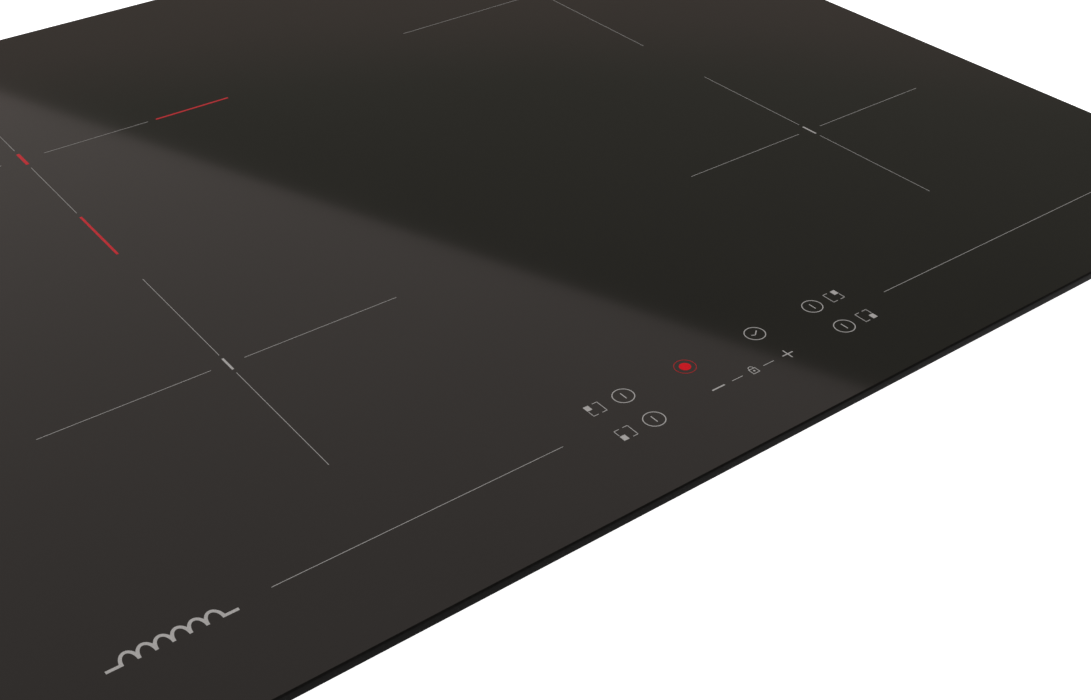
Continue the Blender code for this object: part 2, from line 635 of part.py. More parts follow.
def build_impeller(name, x, floor_z, cavity_height):
    """Impeller on its axis: a hub cup over the motor, a back disc and raked blades."""
    blades, blade_middle = 13, 25 * MM
    low, disc_low, disc_high = 2 * MM, cavity_height - 4.5 * MM, cavity_height - 3 * MM
    hub, cup, rim, shaft_bore = 13.5 * MM, 11.2 * MM, 32 * MM, 1.65 * MM
    hub_low = cavity_height - 19.5 * MM
    profile = [
        (rim, disc_high),
        (rim, disc_low),
        (hub, disc_low),
        (hub, hub_low + 1.5 * MM),
        (hub - 2 * MM, hub_low),
        (shaft_bore, hub_low),
        (shaft_bore, hub_low + 3 * MM),
        (cup, hub_low + 3 * MM),
        (cup, disc_high),
    ]
    impeller = add_turned(name, profile, 18, "white_plastic", (x, FAN_Y, floor_z))
    rake = math.radians(38)
    mesh_data = bmesh.new()
    height = disc_low + 0.4 * MM - low
    for i in range(blades):
        spin = Matrix.Rotation(math.tau * i / blades, 4, "Z")
        place = Matrix.Translation((blade_middle, 0, low + height / 2))
        blade = Matrix.Diagonal((13 * MM, 1.1 * MM, height, 1))
        matrix = spin @ place @ Matrix.Rotation(rake, 4, "Z") @ blade
        bmesh.ops.create_cube(mesh_data, size=1, matrix=matrix)
    mesh = bpy.data.meshes.new("blades")
    mesh_data.to_mesh(mesh)
    mesh_data.free()
    combine(impeller, "UNION", mesh)


# ---------------------------------------------------------------- coil decks
def winding_radius(zone):
    """Outer radius of a zone's outermost winding."""
    return ZONES[zone][2][-1][1]


def former_radius(zone):
    return winding_radius(zone) + 2.4 * MM


def build_rails():
    """Cross rails welded between the tray's sides, and the leaf springs that stand on them."""
    length, width = TRAY_WIDTH - 2 * SHEET - 2 * GAP, 14 * MM
    half, bottom = width / 2, RAIL_TOP - RAIL_HEIGHT
    outline = [
        (-half - 5 * MM, bottom),
        (-half + SHEET, bottom),
        (-half + SHEET, RAIL_TOP - SHEET),
        (half - SHEET, RAIL_TOP - SHEET),
        (half - SHEET, bottom),
        (half + 5 * MM, bottom),
        (half + 5 * MM, bottom + SHEET),
        (half, bottom + SHEET),
        (half, RAIL_TOP),
        (-half, RAIL_TOP),
        (-half, bottom + SHEET),
        (-half - 5 * MM, bottom + SHEET),
    ]
    for end, y in RAIL_YS.items():
        mesh = plate_mesh(f"cross_rail_{end}", [outline], length)
        rail = add_part(f"cross_rail_{end}", mesh, "galvanised_steel", (0, y, 0))
        rail.rotation_euler = (math.pi / 2, 0, math.pi / 2)
        for name, side in SIDES.items():
            build_leaf_spring(f"leaf_spring_{end}_{name}", side * COLUMN_X, y)


def build_leaf_spring(name, x, y):
    """A bowed strip whose crown bears on the coil plate."""
    length, width, strip, steps = 70 * MM, 10 * MM, 0.8 * MM, 12
    low = RAIL_TOP + GAP
    rise = PLATE_TOP - PLATE_THICKNESS - GAP - low - strip
    shares = [i / steps for i in range(steps + 1)]
    path = [(length * (share - 0.5), rise * math.sin(math.pi * share) ** 2) for share in shares]
    spring = add_part(name, strip_mesh(name, path, width), "spring_steel", (x, y, low))
    add_solidify(spring, strip, offset=1)


def build_deck(name, side):
    """One sprung body: an aluminium plate that carries two zones, under a mica sheet."""
    zones = [zone for zone, (x, _, _) in ZONES.items() if x * side > 0]
    centre_y = (DECK_FRONT_Y + DECK_REAR_Y) / 2
    deck = add_empty(f"coil_deck_{name}", (side * COLUMN_X, centre_y, PLATE_TOP - PLATE_THICKNESS))
    inner, outer = 4 * MM, 266 * MM
    middle_x = side * (inner + outer) / 2
    sheet = rounded_rectangle(outer - inner, DECK_REAR_Y - DECK_FRONT_Y, 6 * MM, 3)
    middles = [(ZONES[zone][0] - middle_x, ZONES[zone][1] - centre_y) for zone in zones]
    openings = []
    for (x, y), to_slot in zip(middles, (-46 * MM, 46 * MM)):
        openings.append(rounded_rectangle(26 * MM, 9 * MM, 4.4 * MM, 3, (x - side * 4 * MM, y + to_slot)))
        openings.append(circle(6 * MM, (x + 15 * MM, y + 15 * MM), 12))
    plate = plate_mesh(f"coil_plate_{name}", [sheet, *openings], PLATE_THICKNESS)
    plate_middle = (middle_x, centre_y, PLATE_TOP - PLATE_THICKNESS / 2)
    add_part(f"coil_plate_{name}", plate, "aluminium", plate_middle, deck)
    sensor_holes = [circle(11 * MM, middle) for middle in middles]
    mica = plate_mesh(f"mica_sheet_{name}", [sheet, *sensor_holes], MICA_THICKNESS)
    mica_middle = (middle_x, centre_y, MICA_TOP - MICA_THICKNESS / 2)
    add_part(f"mica_sheet_{name}", mica, "mica", mica_middle, deck)
    for zone in zones:
        build_zone(zone, deck)


def build_zone(zone, deck):
    """One cooking zone from the plate up: ferrites, former, winding and temperature sensor."""
    x, y, windings = ZONES[zone]
    radius = former_radius(zone)
    rim, lip, hub = 1.2 * MM, 2.4 * MM, 9.5 * MM
    former = [
        (radius, FORMER_THICKNESS + lip),
        (radius, 0),
        (hub, 0),
        (hub, FORMER_THICKNESS + lip),
        (hub + rim, FORMER_THICKNESS + lip),
        (hub + rim, FORMER_THICKNESS),
        (radius - rim, FORMER_THICKNESS),
        (radius - rim, FORMER_THICKNESS + lip),
    ]
    former_bottom = (x, y, FORMER_TOP - FORMER_THICKNESS)
    add_turned(f"coil_former_{zone}", former, 24, "white_plastic", former_bottom, deck)
    build_ferrites(zone, (x, y), radius, deck)
    build_sensor(zone, (x, y), deck)
    labels = [""] if len(windings) == 1 else ["_inner", "_outer"]
    for label, (inner, outer, turns, steps) in zip(labels, windings):
        build_winding(f"winding_{zone}{label}", (x, y), inner, outer, turns, steps, deck)


def build_ferrites(zone, centre, radius, deck):
    """Ferrite bars set like spokes round a thin ring."""
    bars = 8 if radius > 90 * MM else 6
    ring_inner, ring_outer = 15 * MM, 21 * MM
    length = radius - 6 * MM - ring_outer
    mesh_data = bmesh.new()
    for i in range(bars):
        spin = Matrix.Rotation(math.tau * (i + 0.5) / bars, 4, "Z")
        place = Matrix.Translation((ring_outer - 2 * MM + length / 2, 0, 0))
        size = Matrix.Diagonal((length, 12 * MM, FERRITE_THICKNESS - 0.4 * MM, 1))
        bmesh.ops.create_cube(mesh_data, size=1, matrix=spin @ place @ size)
    spokes = bpy.data.meshes.new("bars")
    mesh_data.to_mesh(spokes)
    mesh_data.free()
    ring_lines = [circle(ring_outer, steps=12), circle(ring_inner, steps=12)]
    ring = plate_mesh(f"ferrites_{zone}", ring_lines, FERRITE_THICKNESS)
    height = FERRITE_TOP - FERRITE_THICKNESS / 2
    ferrites = add_part(f"ferrites_{zone}", ring, "ferrite", (*centre, height), deck)
    combine(ferrites, "UNION", spokes)


def build_sensor(zone, centre, deck):
    """Thermistor in a silicone cap, standing on the plate and reaching up to the glass."""
    height = MICA_TOP - PLATE_TOP - GAP
    profile = [
        (0, height),
        (5 * MM, height),
        (7 * MM, height - 2 * MM),
        (8.4 * MM, height - 5 * MM),
        (8.4 * MM, 0),
        (0, 0),
    ]
    bottom = (*centre, PLATE_TOP + GAP)
    add_turned(f"temperature_sensor_{zone}", profile, 16, "silicone", bottom, deck, closed=False)


def build_winding(name, centre, inner, outer, turns, steps, deck):
    """A flat spiral of litz wire with a square section."""
    half_diagonal = WINDING_HEIGHT / 2 * math.sqrt(2)
    side = WINDING_HEIGHT / 2
    count = turns * steps
    start, stop = inner + side, outer - side
    curve = bpy.data.curves.new(name, "CURVE")
    curve.dimensions = "3D"
    curve.fill_mode = "FULL"
    curve.bevel_depth = half_diagonal
    curve.bevel_resolution = 0
    curve.use_fill_caps = True
    curve.twist_mode = "Z_UP"
    spline = curve.splines.new("POLY")
    spline.points.add(count)
    for i, point in enumerate(spline.points):
        radius = start + (stop - start) * i / count
        angle = math.tau * i / steps
        point.co = (radius * math.cos(angle), radius * math.sin(angle), 0, 1)
        point.tilt = math.pi / 4
    add_part(name, curve, "copper", (*centre, WINDING_TOP - WINDING_HEIGHT / 2), deck)


# ---------------------------------------------------------------- touch controls
def build_carrier():
    """Shallow open box under the touch keys, with a notch for the ribbon lead in its rear wall."""
    width, depth = CONTROL_SIZE
    height = MICA_TOP - CONTROL_BOTTOM
    rim_outer = rounded_rectangle(width, depth, 4 * MM, 3)
    rim_inner = rounded_rectangle(width - 2 * CONTROL_WALL, depth - 2 * CONTROL_WALL, 2.5 * MM, 3)
    floor = plate_mesh("control_carrier", [rim_outer], CONTROL_WALL)
    middle = (0, CONTROL_Y, CONTROL_BOTTOM + CONTROL_WALL / 2)
    carrier = add_part("control_carrier", floor, "black_plastic", middle)
    rim = plate_mesh("rim", [rim_outer, rim_inner], height)
    rim.transform(Matrix.Translation((0, 0, (height - CONTROL_WALL) / 2)))
    combine(carrier, "UNION", rim)
    notch = ((0, depth / 2, 2.2 * MM), (24 * MM, 6 * MM, 3.2 * MM))
    combine(carrier, "DIFFERENCE", solids_mesh("ribbon_notch", boxes=[notch]))


def build_touch_board():
    """Touch board with a display at each end, and the light guide under the power key."""
    board_z = CONTROL_BOTTOM + CONTROL_WALL + 2.8 * MM
    clearance = 8 * MM
    size = (CONTROL_SIZE[0] - clearance, CONTROL_SIZE[1] - clearance)
    displays = [(x, 10 * MM, 15 * MM, 9 * MM, 2.2 * MM) for x in (-84 * MM, 84 * MM)]
    board = add_board("control_board", size, 0, CONTROL_Y, displays, z=board_z)
    connector = ((0, CONNECTOR_Y - CONTROL_Y, -1.85 * MM), (20 * MM, 8 * MM, 2.9 * MM))
    combine(board, "UNION", solids_mesh("connector", boxes=[connector]))
    guide_low = board_z + BOARD_THICKNESS + GAP
    height = MICA_TOP - guide_low
    profile = [(0, height), (5.5 * MM, height), (6.5 * MM, 0), (0, 0)]
    add_turned("power_light_guide", profile, 20, "light_guide", (*POWER_KEY, guide_low), closed=False)


def build_ribbon():
    """Flat lead from the touch board, down behind the carrier, and back to the filter board's connector."""
    width, thickness = 16 * MM, 0.8 * MM
    start_y = CONNECTOR_Y + 4 * MM + GAP
    end_y = FILTER_Y - 94 * MM - GAP
    drop_y, run_z, exit_z = -185.5 * MM, 12.4 * MM, 47.4 * MM
    path = [
        (start_y, exit_z),
        (drop_y - 2.5 * MM, exit_z),
        (drop_y, exit_z - 2.5 * MM),
        (drop_y, run_z + 4 * MM),
        (drop_y + 4 * MM, run_z),
        (end_y, run_z),
    ]
    ribbon = add_part("ribbon_cable", strip_mesh("ribbon_cable", path, width), "white_plastic")
    ribbon.rotation_euler = (0, 0, math.pi / 2)
    add_solidify(ribbon, thickness, offset=0)


build_glass()
build_seal()
build_frame()
build_tray()
build_case_screws()
build_clamps()
build_terminal_cover()
build_terminal_block()
build_cable_entry()
build_electronics_tray()
build_power_boards()
build_filter_board()
build_blowers()
build_rails()
for deck_name, deck_side in SIDES.items():
    build_deck(deck_name, deck_side)
build_carrier()
build_touch_board()
build_ribbon()
bpy.context.view_layer.update()
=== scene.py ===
"""Looks of the built-in induction hob: glass with its printed keys and zone marks, gasket, fasteners,
procedural materials, studio floor, light and camera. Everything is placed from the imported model's frame."""

import json
import math

import bmesh
import bpy
from mathutils import Matrix, Vector


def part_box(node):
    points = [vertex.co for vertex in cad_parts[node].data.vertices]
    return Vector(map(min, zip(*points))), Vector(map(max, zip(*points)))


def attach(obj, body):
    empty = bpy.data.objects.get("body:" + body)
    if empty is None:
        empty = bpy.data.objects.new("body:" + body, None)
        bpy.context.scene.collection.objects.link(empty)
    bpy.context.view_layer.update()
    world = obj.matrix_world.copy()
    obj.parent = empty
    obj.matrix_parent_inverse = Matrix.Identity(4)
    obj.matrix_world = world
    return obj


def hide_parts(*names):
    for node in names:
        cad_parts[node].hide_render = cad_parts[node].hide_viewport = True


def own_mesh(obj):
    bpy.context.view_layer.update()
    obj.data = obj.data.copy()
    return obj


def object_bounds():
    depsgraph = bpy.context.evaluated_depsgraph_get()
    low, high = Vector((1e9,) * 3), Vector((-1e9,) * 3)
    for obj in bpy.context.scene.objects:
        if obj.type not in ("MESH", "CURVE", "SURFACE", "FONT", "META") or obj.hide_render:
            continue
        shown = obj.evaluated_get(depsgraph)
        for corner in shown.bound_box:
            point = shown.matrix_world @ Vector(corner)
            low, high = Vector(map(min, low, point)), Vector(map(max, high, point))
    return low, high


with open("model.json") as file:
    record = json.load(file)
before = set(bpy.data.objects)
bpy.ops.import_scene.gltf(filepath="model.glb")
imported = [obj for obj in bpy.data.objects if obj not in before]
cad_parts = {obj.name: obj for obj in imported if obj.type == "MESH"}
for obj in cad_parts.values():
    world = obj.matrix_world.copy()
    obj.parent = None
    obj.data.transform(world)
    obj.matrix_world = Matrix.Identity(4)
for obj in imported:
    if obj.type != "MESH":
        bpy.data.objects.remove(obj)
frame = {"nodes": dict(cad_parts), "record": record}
CAD_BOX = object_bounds()

MM = 0.001
CORNERS = {"front_left": (-1, -1), "rear_left": (-1, 1), "front_right": (1, -1), "rear_right": (1, 1)}
GLASS_LOW, GLASS_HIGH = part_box("glass_top")
GLASS_TOP = GLASS_HIGH.z


def mm(*values):
    """Millimetres as metres."""
    return [value * MM for value in values]


# ---- layout of the print, in metres
LINE = 0.21 * MM  # thin white lines
RED_LINE = 1.15 * MM
TICK = 0.95 * MM
RED_TICK = 1.6 * MM
INK_LOW = GLASS_TOP - 0.02 * MM
INK_HIGH = GLASS_TOP + 0.05 * MM
ZONES = {  # name: (arm start, arm end, half length of the centre tick), measured from the zone's centre
    "front_left": mm(7.25, 77.5, 4.5),
    "rear_left": mm(10.6, 65.0, 6.45),
    "front_right": mm(7.25, 77.3, 4.5),
    "rear_right": mm(9.0, 94.9, 5.55),
}
DOUBLE_ZONE = "rear_left"
OUTER_ARM = mm(69.3, 109.5)  # the double zone's second ring
KEY_ROW_REAR = -206.6 * MM
KEY_ROW_FRONT = -224.6 * MM
KEY_RADIUS = 4.3 * MM
KEY_LINE = 0.38 * MM
KEY_HAND = 0.42 * MM  # a key's bar or a clock's hand
POWER_KEYS = {-1: -41.2 * MM, 1: 58.6 * MM}  # x by side
ZONE_ICONS = {-1: -54.7 * MM, 1: 71.0 * MM}
MAIN_KEY_X = -10.4 * MM
TIMER_X = 26.5 * MM
MINUS_X = -9.3 * MM
LOCK_X = 8.95 * MM
PLUS_X = 27.0 * MM
DASHES = {"left": 0.45 * MM, "right": 16.75 * MM}
GUIDE_LINE_Y = -217.0 * MM
GUIDE_LINES = {"left": mm(-196.5, -77.8), "right": mm(89.7, 257.3)}
PICTOGRAM_X = -254.5 * MM  # left end of the coil pictogram

WINDINGS = {  # name: (inner radius, outer radius, steps a turn)
    "front_left": (24 * MM, 72 * MM, 48),
    "rear_left_inner": (24 * MM, 62 * MM, 48),
    "rear_left_outer": (74 * MM, 102 * MM, 64),
    "front_right": (24 * MM, 72 * MM, 48),
    "rear_right": (24 * MM, 90 * MM, 56),
}
SOFT_EDGES = {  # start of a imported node's name: width of its broken edges
    "base_tray": 0.25 * MM,
    "glass_frame": 0.25 * MM,
    "terminal_block": 0.25 * MM,
    "cross_rail": 0.3 * MM,
    "electronics_tray": 0.3 * MM,
    "terminal_cover": 0.3 * MM,
    "fixing_clamp": 0.3 * MM,
    "fan_housing": 0.4 * MM,
    "control_carrier": 0.2 * MM,
    "heatsink": 0.2 * MM,
    "coil_plate": 0.2 * MM,
}

# ---- camera and light
CAMERA_OFFSET = Vector((-0.33855, -0.55761, 0.34559))  # from the middle of the glass's top face
CAMERA_HEADING = math.radians(36.632)  # to the right of +Y
CAMERA_PITCH = math.radians(35.221)  # below the horizon
CAMERA_ROLL = math.radians(-0.538)
CAMERA_LENS = 50.27
SENSOR_WIDTH = 36.0
SOFTBOX_HEIGHT = 1.6
SOFTBOX_SIZE = (2.4, 4.2)
SOFTBOX_POWER = 10.6
SOFTBOX_COLOUR = (1.0, 0.84, 0.83)
# The softbox's mirrored edge runs over the glass between these two points.
REFLECTED_EDGE = (Vector((-0.1316, 0.1946)), Vector((0.0351, -0.2606)))
FILL_AIM = (0, 0, 0.03)
FILLS = {  # name: (place, size, power)
    "front_fill": ((-0.9, -1.5, 0.9), (1.2, 0.8), 7),
    "side_fill": ((1.6, -0.6, 0.5), (1.0, 0.5), 3),
    "rear_fill": ((-0.9, 1.7, 0.4), (1.2, 0.4), 3),
}
ROOM_LIGHT = 0.75
HORIZON = (0.58, 0.58, 0.58)
WALL = (0.255, 0.215, 0.185)
CEILING = (0.195, 0.188, 0.155)
ROOM = [  # (upward part of the direction, colour) of the room that the glass and the metal mirror
    (0.0, HORIZON),
    (0.12, HORIZON),
    (0.3, WALL),
    (0.39, WALL),
    (0.425, CEILING),
    (0.8, CEILING),
]
FLOOR_RADIUS = 6
FLOOR_GLOW = 0.8  # only the camera sees it, so that the floor melts into the backdrop


# ---- shader helpers
def set_stops(ramp, stops):
    """Gives a colour ramp these (position, colour) stops."""
    while len(ramp.elements) < len(stops):
        ramp.elements.new(1.0)
    for element, (position, colour) in zip(ramp.elements, stops):
        element.position = position
        element.color = (*colour, 1)


def set_inputs(node, **values):
    """Sets a node's unlinked inputs, named with _ for a space."""
    for label, value in values.items():
        node.inputs[label.replace("_", " ")].default_value = value


class Finish:
    """A Principled material whose colour, roughness and bump come from procedural nodes.

    It starts from its mean colour, which a view without nodes shows, and its mean roughness."""

    def __init__(self, name, colour, roughness, metallic=0.0, **inputs):
        self.material = bpy.data.materials.new(name)
        self.material.diffuse_color = (*colour, 1)
        self.material.use_nodes = True
        self.tree = self.material.node_tree
        self.shader = self.tree.nodes["Principled BSDF"]
        set_inputs(self.shader, Base_Color=(*colour, 1), Roughness=roughness, Metallic=metallic, **inputs)

    def add(self, kind, **inputs):
        node = self.tree.nodes.new(kind)
        set_inputs(node, **inputs)
        return node

    def link(self, source, target):
        self.tree.links.new(source, target)

    def place(self, stretch=(1, 1, 1)):
        """Object coordinates in metres, scaled along each axis."""
        coordinates = self.add("ShaderNodeTexCoord")
        mapping = self.add("ShaderNodeMapping", Scale=stretch)
        self.link(coordinates.outputs["Object"], mapping.inputs["Vector"])
        return mapping.outputs["Vector"]

    def noise(self, scale, detail=3.0, stretch=(1, 1, 1)):
        texture = self.add("ShaderNodeTexNoise", Scale=scale, Detail=detail)
        self.link(self.place(stretch), texture.inputs["Vector"])
        return texture.outputs["Fac"]

    def cells(self, scale):
        texture = self.add("ShaderNodeTexVoronoi", Scale=scale)
        self.link(self.place(), texture.inputs["Vector"])
        return texture

    def flakes(self, scale):
        """Flakes that each have a grey of their own."""
        grey = self.add("ShaderNodeRGBToBW")
        self.link(self.cells(scale).outputs["Color"], grey.inputs["Color"])
        return grey.outputs["Val"]

    def stripes(self, scale, direction, distortion=0.0):
        texture = self.add("ShaderNodeTexWave", Scale=scale, Distortion=distortion)
        texture.bands_direction = direction
        self.link(self.place(), texture.inputs["Vector"])
        return texture.outputs["Fac"]

    def between(self, factor, low, high):
        """A number that runs from low to high as factor runs from 0 to 1."""
        node = self.add("ShaderNodeMapRange", To_Min=low, To_Max=high)
        self.link(factor, node.inputs["Value"])
        return node.outputs["Result"]

    def colour(self, pattern, dark, light, start=0.3, stop=0.7):
        """Colours the surface from dark to light as the pattern runs from start to stop."""
        node = self.add("ShaderNodeValToRGB")
        set_stops(node.color_ramp, [(start, dark), (stop, light)])
        self.link(pattern, node.inputs["Fac"])
        self.link(node.outputs["Color"], self.shader.inputs["Base Color"])
        return node.color_ramp

    def roughness(self, pattern, low, high):
        self.link(self.between(pattern, low, high), self.shader.inputs["Roughness"])

    def bump(self, height, distance, strength=1.0):
        node = self.add("ShaderNodeBump", Distance=distance, Strength=strength)
        self.link(height, node.inputs["Height"])
        self.link(node.outputs["Normal"], self.shader.inputs["Normal"])


# ---- materials
def black_glass():
    """Polished glass-ceramic, black right through, with the faintest unevenness in its polish."""
    glass = Finish("black_glass", (0.004, 0.0037, 0.0034), 0.055, IOR=1.5)
    glass.colour(glass.noise(6), (0.0035, 0.0032, 0.0030), (0.0050, 0.0046, 0.0043))
    glass.roughness(glass.noise(9, 5), 0.050, 0.062)
    return glass.material


def ground_edge():
    """The plate's ground and fire-polished rim: less mirror-like than its faces."""
    edge = Finish("ground_glass_edge", (0.005, 0.0048, 0.0044), 0.23, Specular_IOR_Level=0.05)
    edge.colour(edge.noise(800, 2), (0.004, 0.0038, 0.0035), (0.006, 0.0057, 0.0053))
    edge.roughness(edge.noise(700, 2), 0.18, 0.28)
    edge.bump(edge.noise(1500, 2), 0.01 * MM, 0.5)
    return edge.material


def printed_ink(name, dark, light, sheen):
    """Fired enamel, slightly uneven in its cover, with a dry surface."""
    ink = Finish(name, light, 0.5, Specular_IOR_Level=sheen)
    ink.colour(ink.noise(2200, 2), dark, light)
    ink.roughness(ink.noise(900, 2), 0.32, 0.5)
    ink.bump(ink.noise(3000, 1), 0.004 * MM)
    return ink.material


def foam_rubber():
    """Black closed-cell foam."""
    foam = Finish("black_foam", (0.02, 0.02, 0.02), 0.85, Specular_IOR_Level=0.3)
    pores = foam.cells(1400).outputs["Distance"]
    foam.colour(pores, (0.008, 0.008, 0.008), (0.035, 0.035, 0.036), 0.1, 0.6)
    foam.roughness(foam.noise(300), 0.75, 0.95)
    foam.bump(pores, 0.25 * MM)
    return foam.material


def galvanised_steel():
    """Hot-dip zinc on sheet: large spangles that each catch the light in their own way."""
    zinc = Finish("galvanised_steel", (0.42, 0.43, 0.45), 0.4, 1.0)
    spangles = zinc.flakes(130)
    zinc.colour(spangles, (0.36, 0.37, 0.39), (0.48, 0.49, 0.51), 0.15, 0.85)
    zinc.roughness(spangles, 0.34, 0.48)
    zinc.bump(zinc.noise(420, 6), 0.03 * MM, 0.5)
    return zinc.material


def zinc_screw():
    """Bright zinc plate with a pale yellow passivation."""
    plate = Finish("zinc_plated", (0.74, 0.71, 0.60), 0.28, 1.0)
    plate.colour(plate.noise(260), (0.70, 0.65, 0.50), (0.80, 0.79, 0.74))
    plate.roughness(plate.noise(900), 0.2, 0.36)
    plate.bump(plate.noise(1600, 2), 0.01 * MM)
    return plate.material


def spring_steel():
    """Blued strip with rolling lines along its length."""
    strip = Finish("spring_steel", (0.34, 0.35, 0.38), 0.3, 1.0)
    lines = strip.noise(120, 5, (1, 14, 14))
    strip.colour(lines, (0.26, 0.27, 0.31), (0.42, 0.42, 0.43))
    strip.roughness(lines, 0.24, 0.42)
    strip.bump(lines, 0.01 * MM)
    return strip.material


def aluminium():
    """Mill-finish sheet and extrusion, with drawn lines along Y."""
    metal = Finish("mill_aluminium", (0.76, 0.77, 0.78), 0.36, 1.0)
    lines = metal.noise(160, 5, (12, 1, 12))
    metal.colour(lines, (0.68, 0.69, 0.71), (0.82, 0.83, 0.84))
    metal.roughness(lines, 0.28, 0.46)
    metal.bump(lines, 0.015 * MM)
    return metal.material


def moulded_plastic(name, dark, light, grain=0.03 * MM):
    """Injection-moulded plastic with spark-eroded grain."""
    plastic = Finish(name, light, 0.5)
    plastic.colour(plastic.noise(40), dark, light)
    plastic.roughness(plastic.noise(500, 2), 0.4, 0.58)
    plastic.bump(plastic.noise(2200), grain, 0.6)
    return plastic.material


def circuit_board():
    """Green solder mask: paler copper tracks show through it, and it is glossy."""
    board = Finish("circuit_board", (0.03, 0.16, 0.07), 0.35, Coat_Weight=0.4)
    tracks = board.add("ShaderNodeTexBrick", Scale=1.0, Mortar_Size=0.9 * MM)
    set_inputs(tracks, Brick_Width=11 * MM, Row_Height=4.3 * MM, Mortar=(0.05, 0.24, 0.10, 1))
    set_inputs(tracks, Color1=(0.012, 0.105, 0.045, 1), Color2=(0.018, 0.13, 0.055, 1))
    board.link(board.place(), tracks.inputs["Vector"])
    board.link(tracks.outputs["Color"], board.shader.inputs["Base Color"])
    board.roughness(board.noise(300, 2), 0.3, 0.5)
    board.bump(tracks.outputs["Fac"], 0.02 * MM, 0.4)
    return board.material


def copper_litz():
    """Varnished litz: fine twisted strands seen as slanting lines."""
    wire = Finish("copper_litz", (0.72, 0.34, 0.15), 0.32, 1.0, Coat_Weight=0.5, Coat_Roughness=0.2)
    strands = wire.stripes(420, "DIAGONAL", 2.0)
    wire.colour(strands, (0.40, 0.15, 0.06), (0.80, 0.42, 0.22), 0.1)
    wire.bump(strands, 0.12 * MM)
    return wire.material


def ferrite():
    """Sintered ferrite, dark and chalky with lighter grains."""
    bar = Finish("ferrite", (0.05, 0.05, 0.055), 0.65)
    grains = bar.noise(1300, 4)
    bar.colour(grains, (0.035, 0.035, 0.04), (0.10, 0.10, 0.11), 0.35, 0.75)
    bar.roughness(bar.noise(260), 0.5, 0.8)
    bar.bump(grains, 0.05 * MM)
    return bar.material


def mica():
    """Pressed mica: overlapping pale flakes with a pearly sheen."""
    sheet = Finish("pressed_mica", (0.72, 0.67, 0.57), 0.4, Sheen_Weight=0.3)
    flakes = sheet.flakes(160)
    sheet.colour(flakes, (0.55, 0.49, 0.38), (0.80, 0.76, 0.67), 0.1, 0.9)
    sheet.roughness(flakes, 0.25, 0.6)
    sheet.bump(sheet.noise(300, 4), 0.05 * MM)
    return sheet.material


def silicone():
    """Pale silicone rubber, slightly translucent."""
    cap = Finish("pale_silicone", (0.74, 0.72, 0.69), 0.5, Subsurface_Weight=0.2, Subsurface_Scale=2 * MM)
    cap.colour(cap.noise(120), (0.66, 0.64, 0.61), (0.78, 0.76, 0.73))
    cap.roughness(cap.noise(400, 2), 0.42, 0.6)
    cap.bump(cap.noise(1500, 2), 0.02 * MM)
    return cap.material


def light_guide():
    """Red-tinted clear acrylic."""
    guide = Finish("red_light_guide", (0.75, 0.05, 0.05), 0.12, Transmission_Weight=0.7, IOR=1.49)
    guide.colour(guide.noise(90, 2), (0.60, 0.03, 0.03), (0.80, 0.07, 0.06))
    guide.roughness(guide.noise(300, 2), 0.08, 0.2)
    return guide.material


def brass():
    """Turned brass, dulled in places."""
    metal = Finish("brass", (0.74, 0.55, 0.26), 0.3, 1.0)
    metal.colour(metal.noise(300), (0.62, 0.44, 0.19), (0.80, 0.62, 0.33))
    metal.roughness(metal.noise(700), 0.2, 0.4)
    metal.bump(metal.noise(1400, 2), 0.01 * MM)
    return metal.material


def ribbon_cable():
    """Flat grey lead with a groove between its wires, and the wire at its left edge marked red."""
    half_width, wire, red_share = 8 * MM, 1.979 * MM, 0.075
    wave_repeat = math.tau / 20  # of a wave texture of scale 1, in metres
    ribbon = Finish("ribbon_cable", (0.42, 0.43, 0.44), 0.5)
    split = ribbon.add("ShaderNodeSeparateXYZ")
    ribbon.link(ribbon.place(), split.inputs["Vector"])
    across = ribbon.add("ShaderNodeMapRange", From_Min=-half_width, From_Max=half_width)
    ribbon.link(split.outputs["X"], across.inputs["Value"])
    ramp = ribbon.colour(across.outputs["Result"], (0.5, 0.05, 0.04), (0.42, 0.43, 0.44), 0.0, red_share)
    ramp.interpolation = "CONSTANT"
    wires = ribbon.stripes(wave_repeat / wire, "X")
    ribbon.roughness(wires, 0.4, 0.6)
    ribbon.bump(wires, 0.25 * MM)
    return ribbon.material


GROUND_EDGE = ground_edge()
WHITE_INK = printed_ink("white_print", (0.32, 0.31, 0.30), (0.39, 0.38, 0.37), 0.2)
RED_INK = printed_ink("red_print", (0.44, 0.006, 0.014), (0.56, 0.010, 0.022), 0.2)
# The main key's ink is a brighter, deeper red than the zone marks' ink: its own red print plus a painted glow
# of the light guide shining through it.
KEY_RED_INK_AND_GLOW = printed_ink("key_red_print_painted_glow", (0.52, 0.002, 0.008), (0.62, 0.004, 0.013), 0.06)
BRASS = brass()
CAN_SLEEVE = moulded_plastic("can_sleeve", (0.012, 0.016, 0.045), (0.020, 0.028, 0.075), 0.005 * MM)
COMPONENTS = [
    moulded_plastic("component_black", (0.014, 0.014, 0.015), (0.024, 0.024, 0.026)),
    moulded_plastic("component_yellow", (0.50, 0.27, 0.03), (0.60, 0.34, 0.05)),
    moulded_plastic("component_grey", (0.20, 0.20, 0.20), (0.28, 0.28, 0.28)),
    moulded_plastic("component_blue", (0.02, 0.07, 0.20), (0.03, 0.10, 0.27)),
]
SLOT_MATERIALS = {
    "black_glass": black_glass(),
    "black_rubber": foam_rubber(),
    "galvanised_steel": galvanised_steel(),
    "zinc_screw": zinc_screw(),
    "spring_steel": spring_steel(),
    "black_plastic": moulded_plastic("black_plastic", (0.018, 0.018, 0.019), (0.030, 0.030, 0.032)),
    "white_plastic": moulded_plastic("white_plastic", (0.66, 0.66, 0.63), (0.74, 0.74, 0.72)),
    "circuit_board": circuit_board(),
    "aluminium": aluminium(),
    "copper_litz": copper_litz(),
    "ferrite": ferrite(),
    "mica": mica(),
    "silicone": silicone(),
    "light_guide": light_guide(),
}


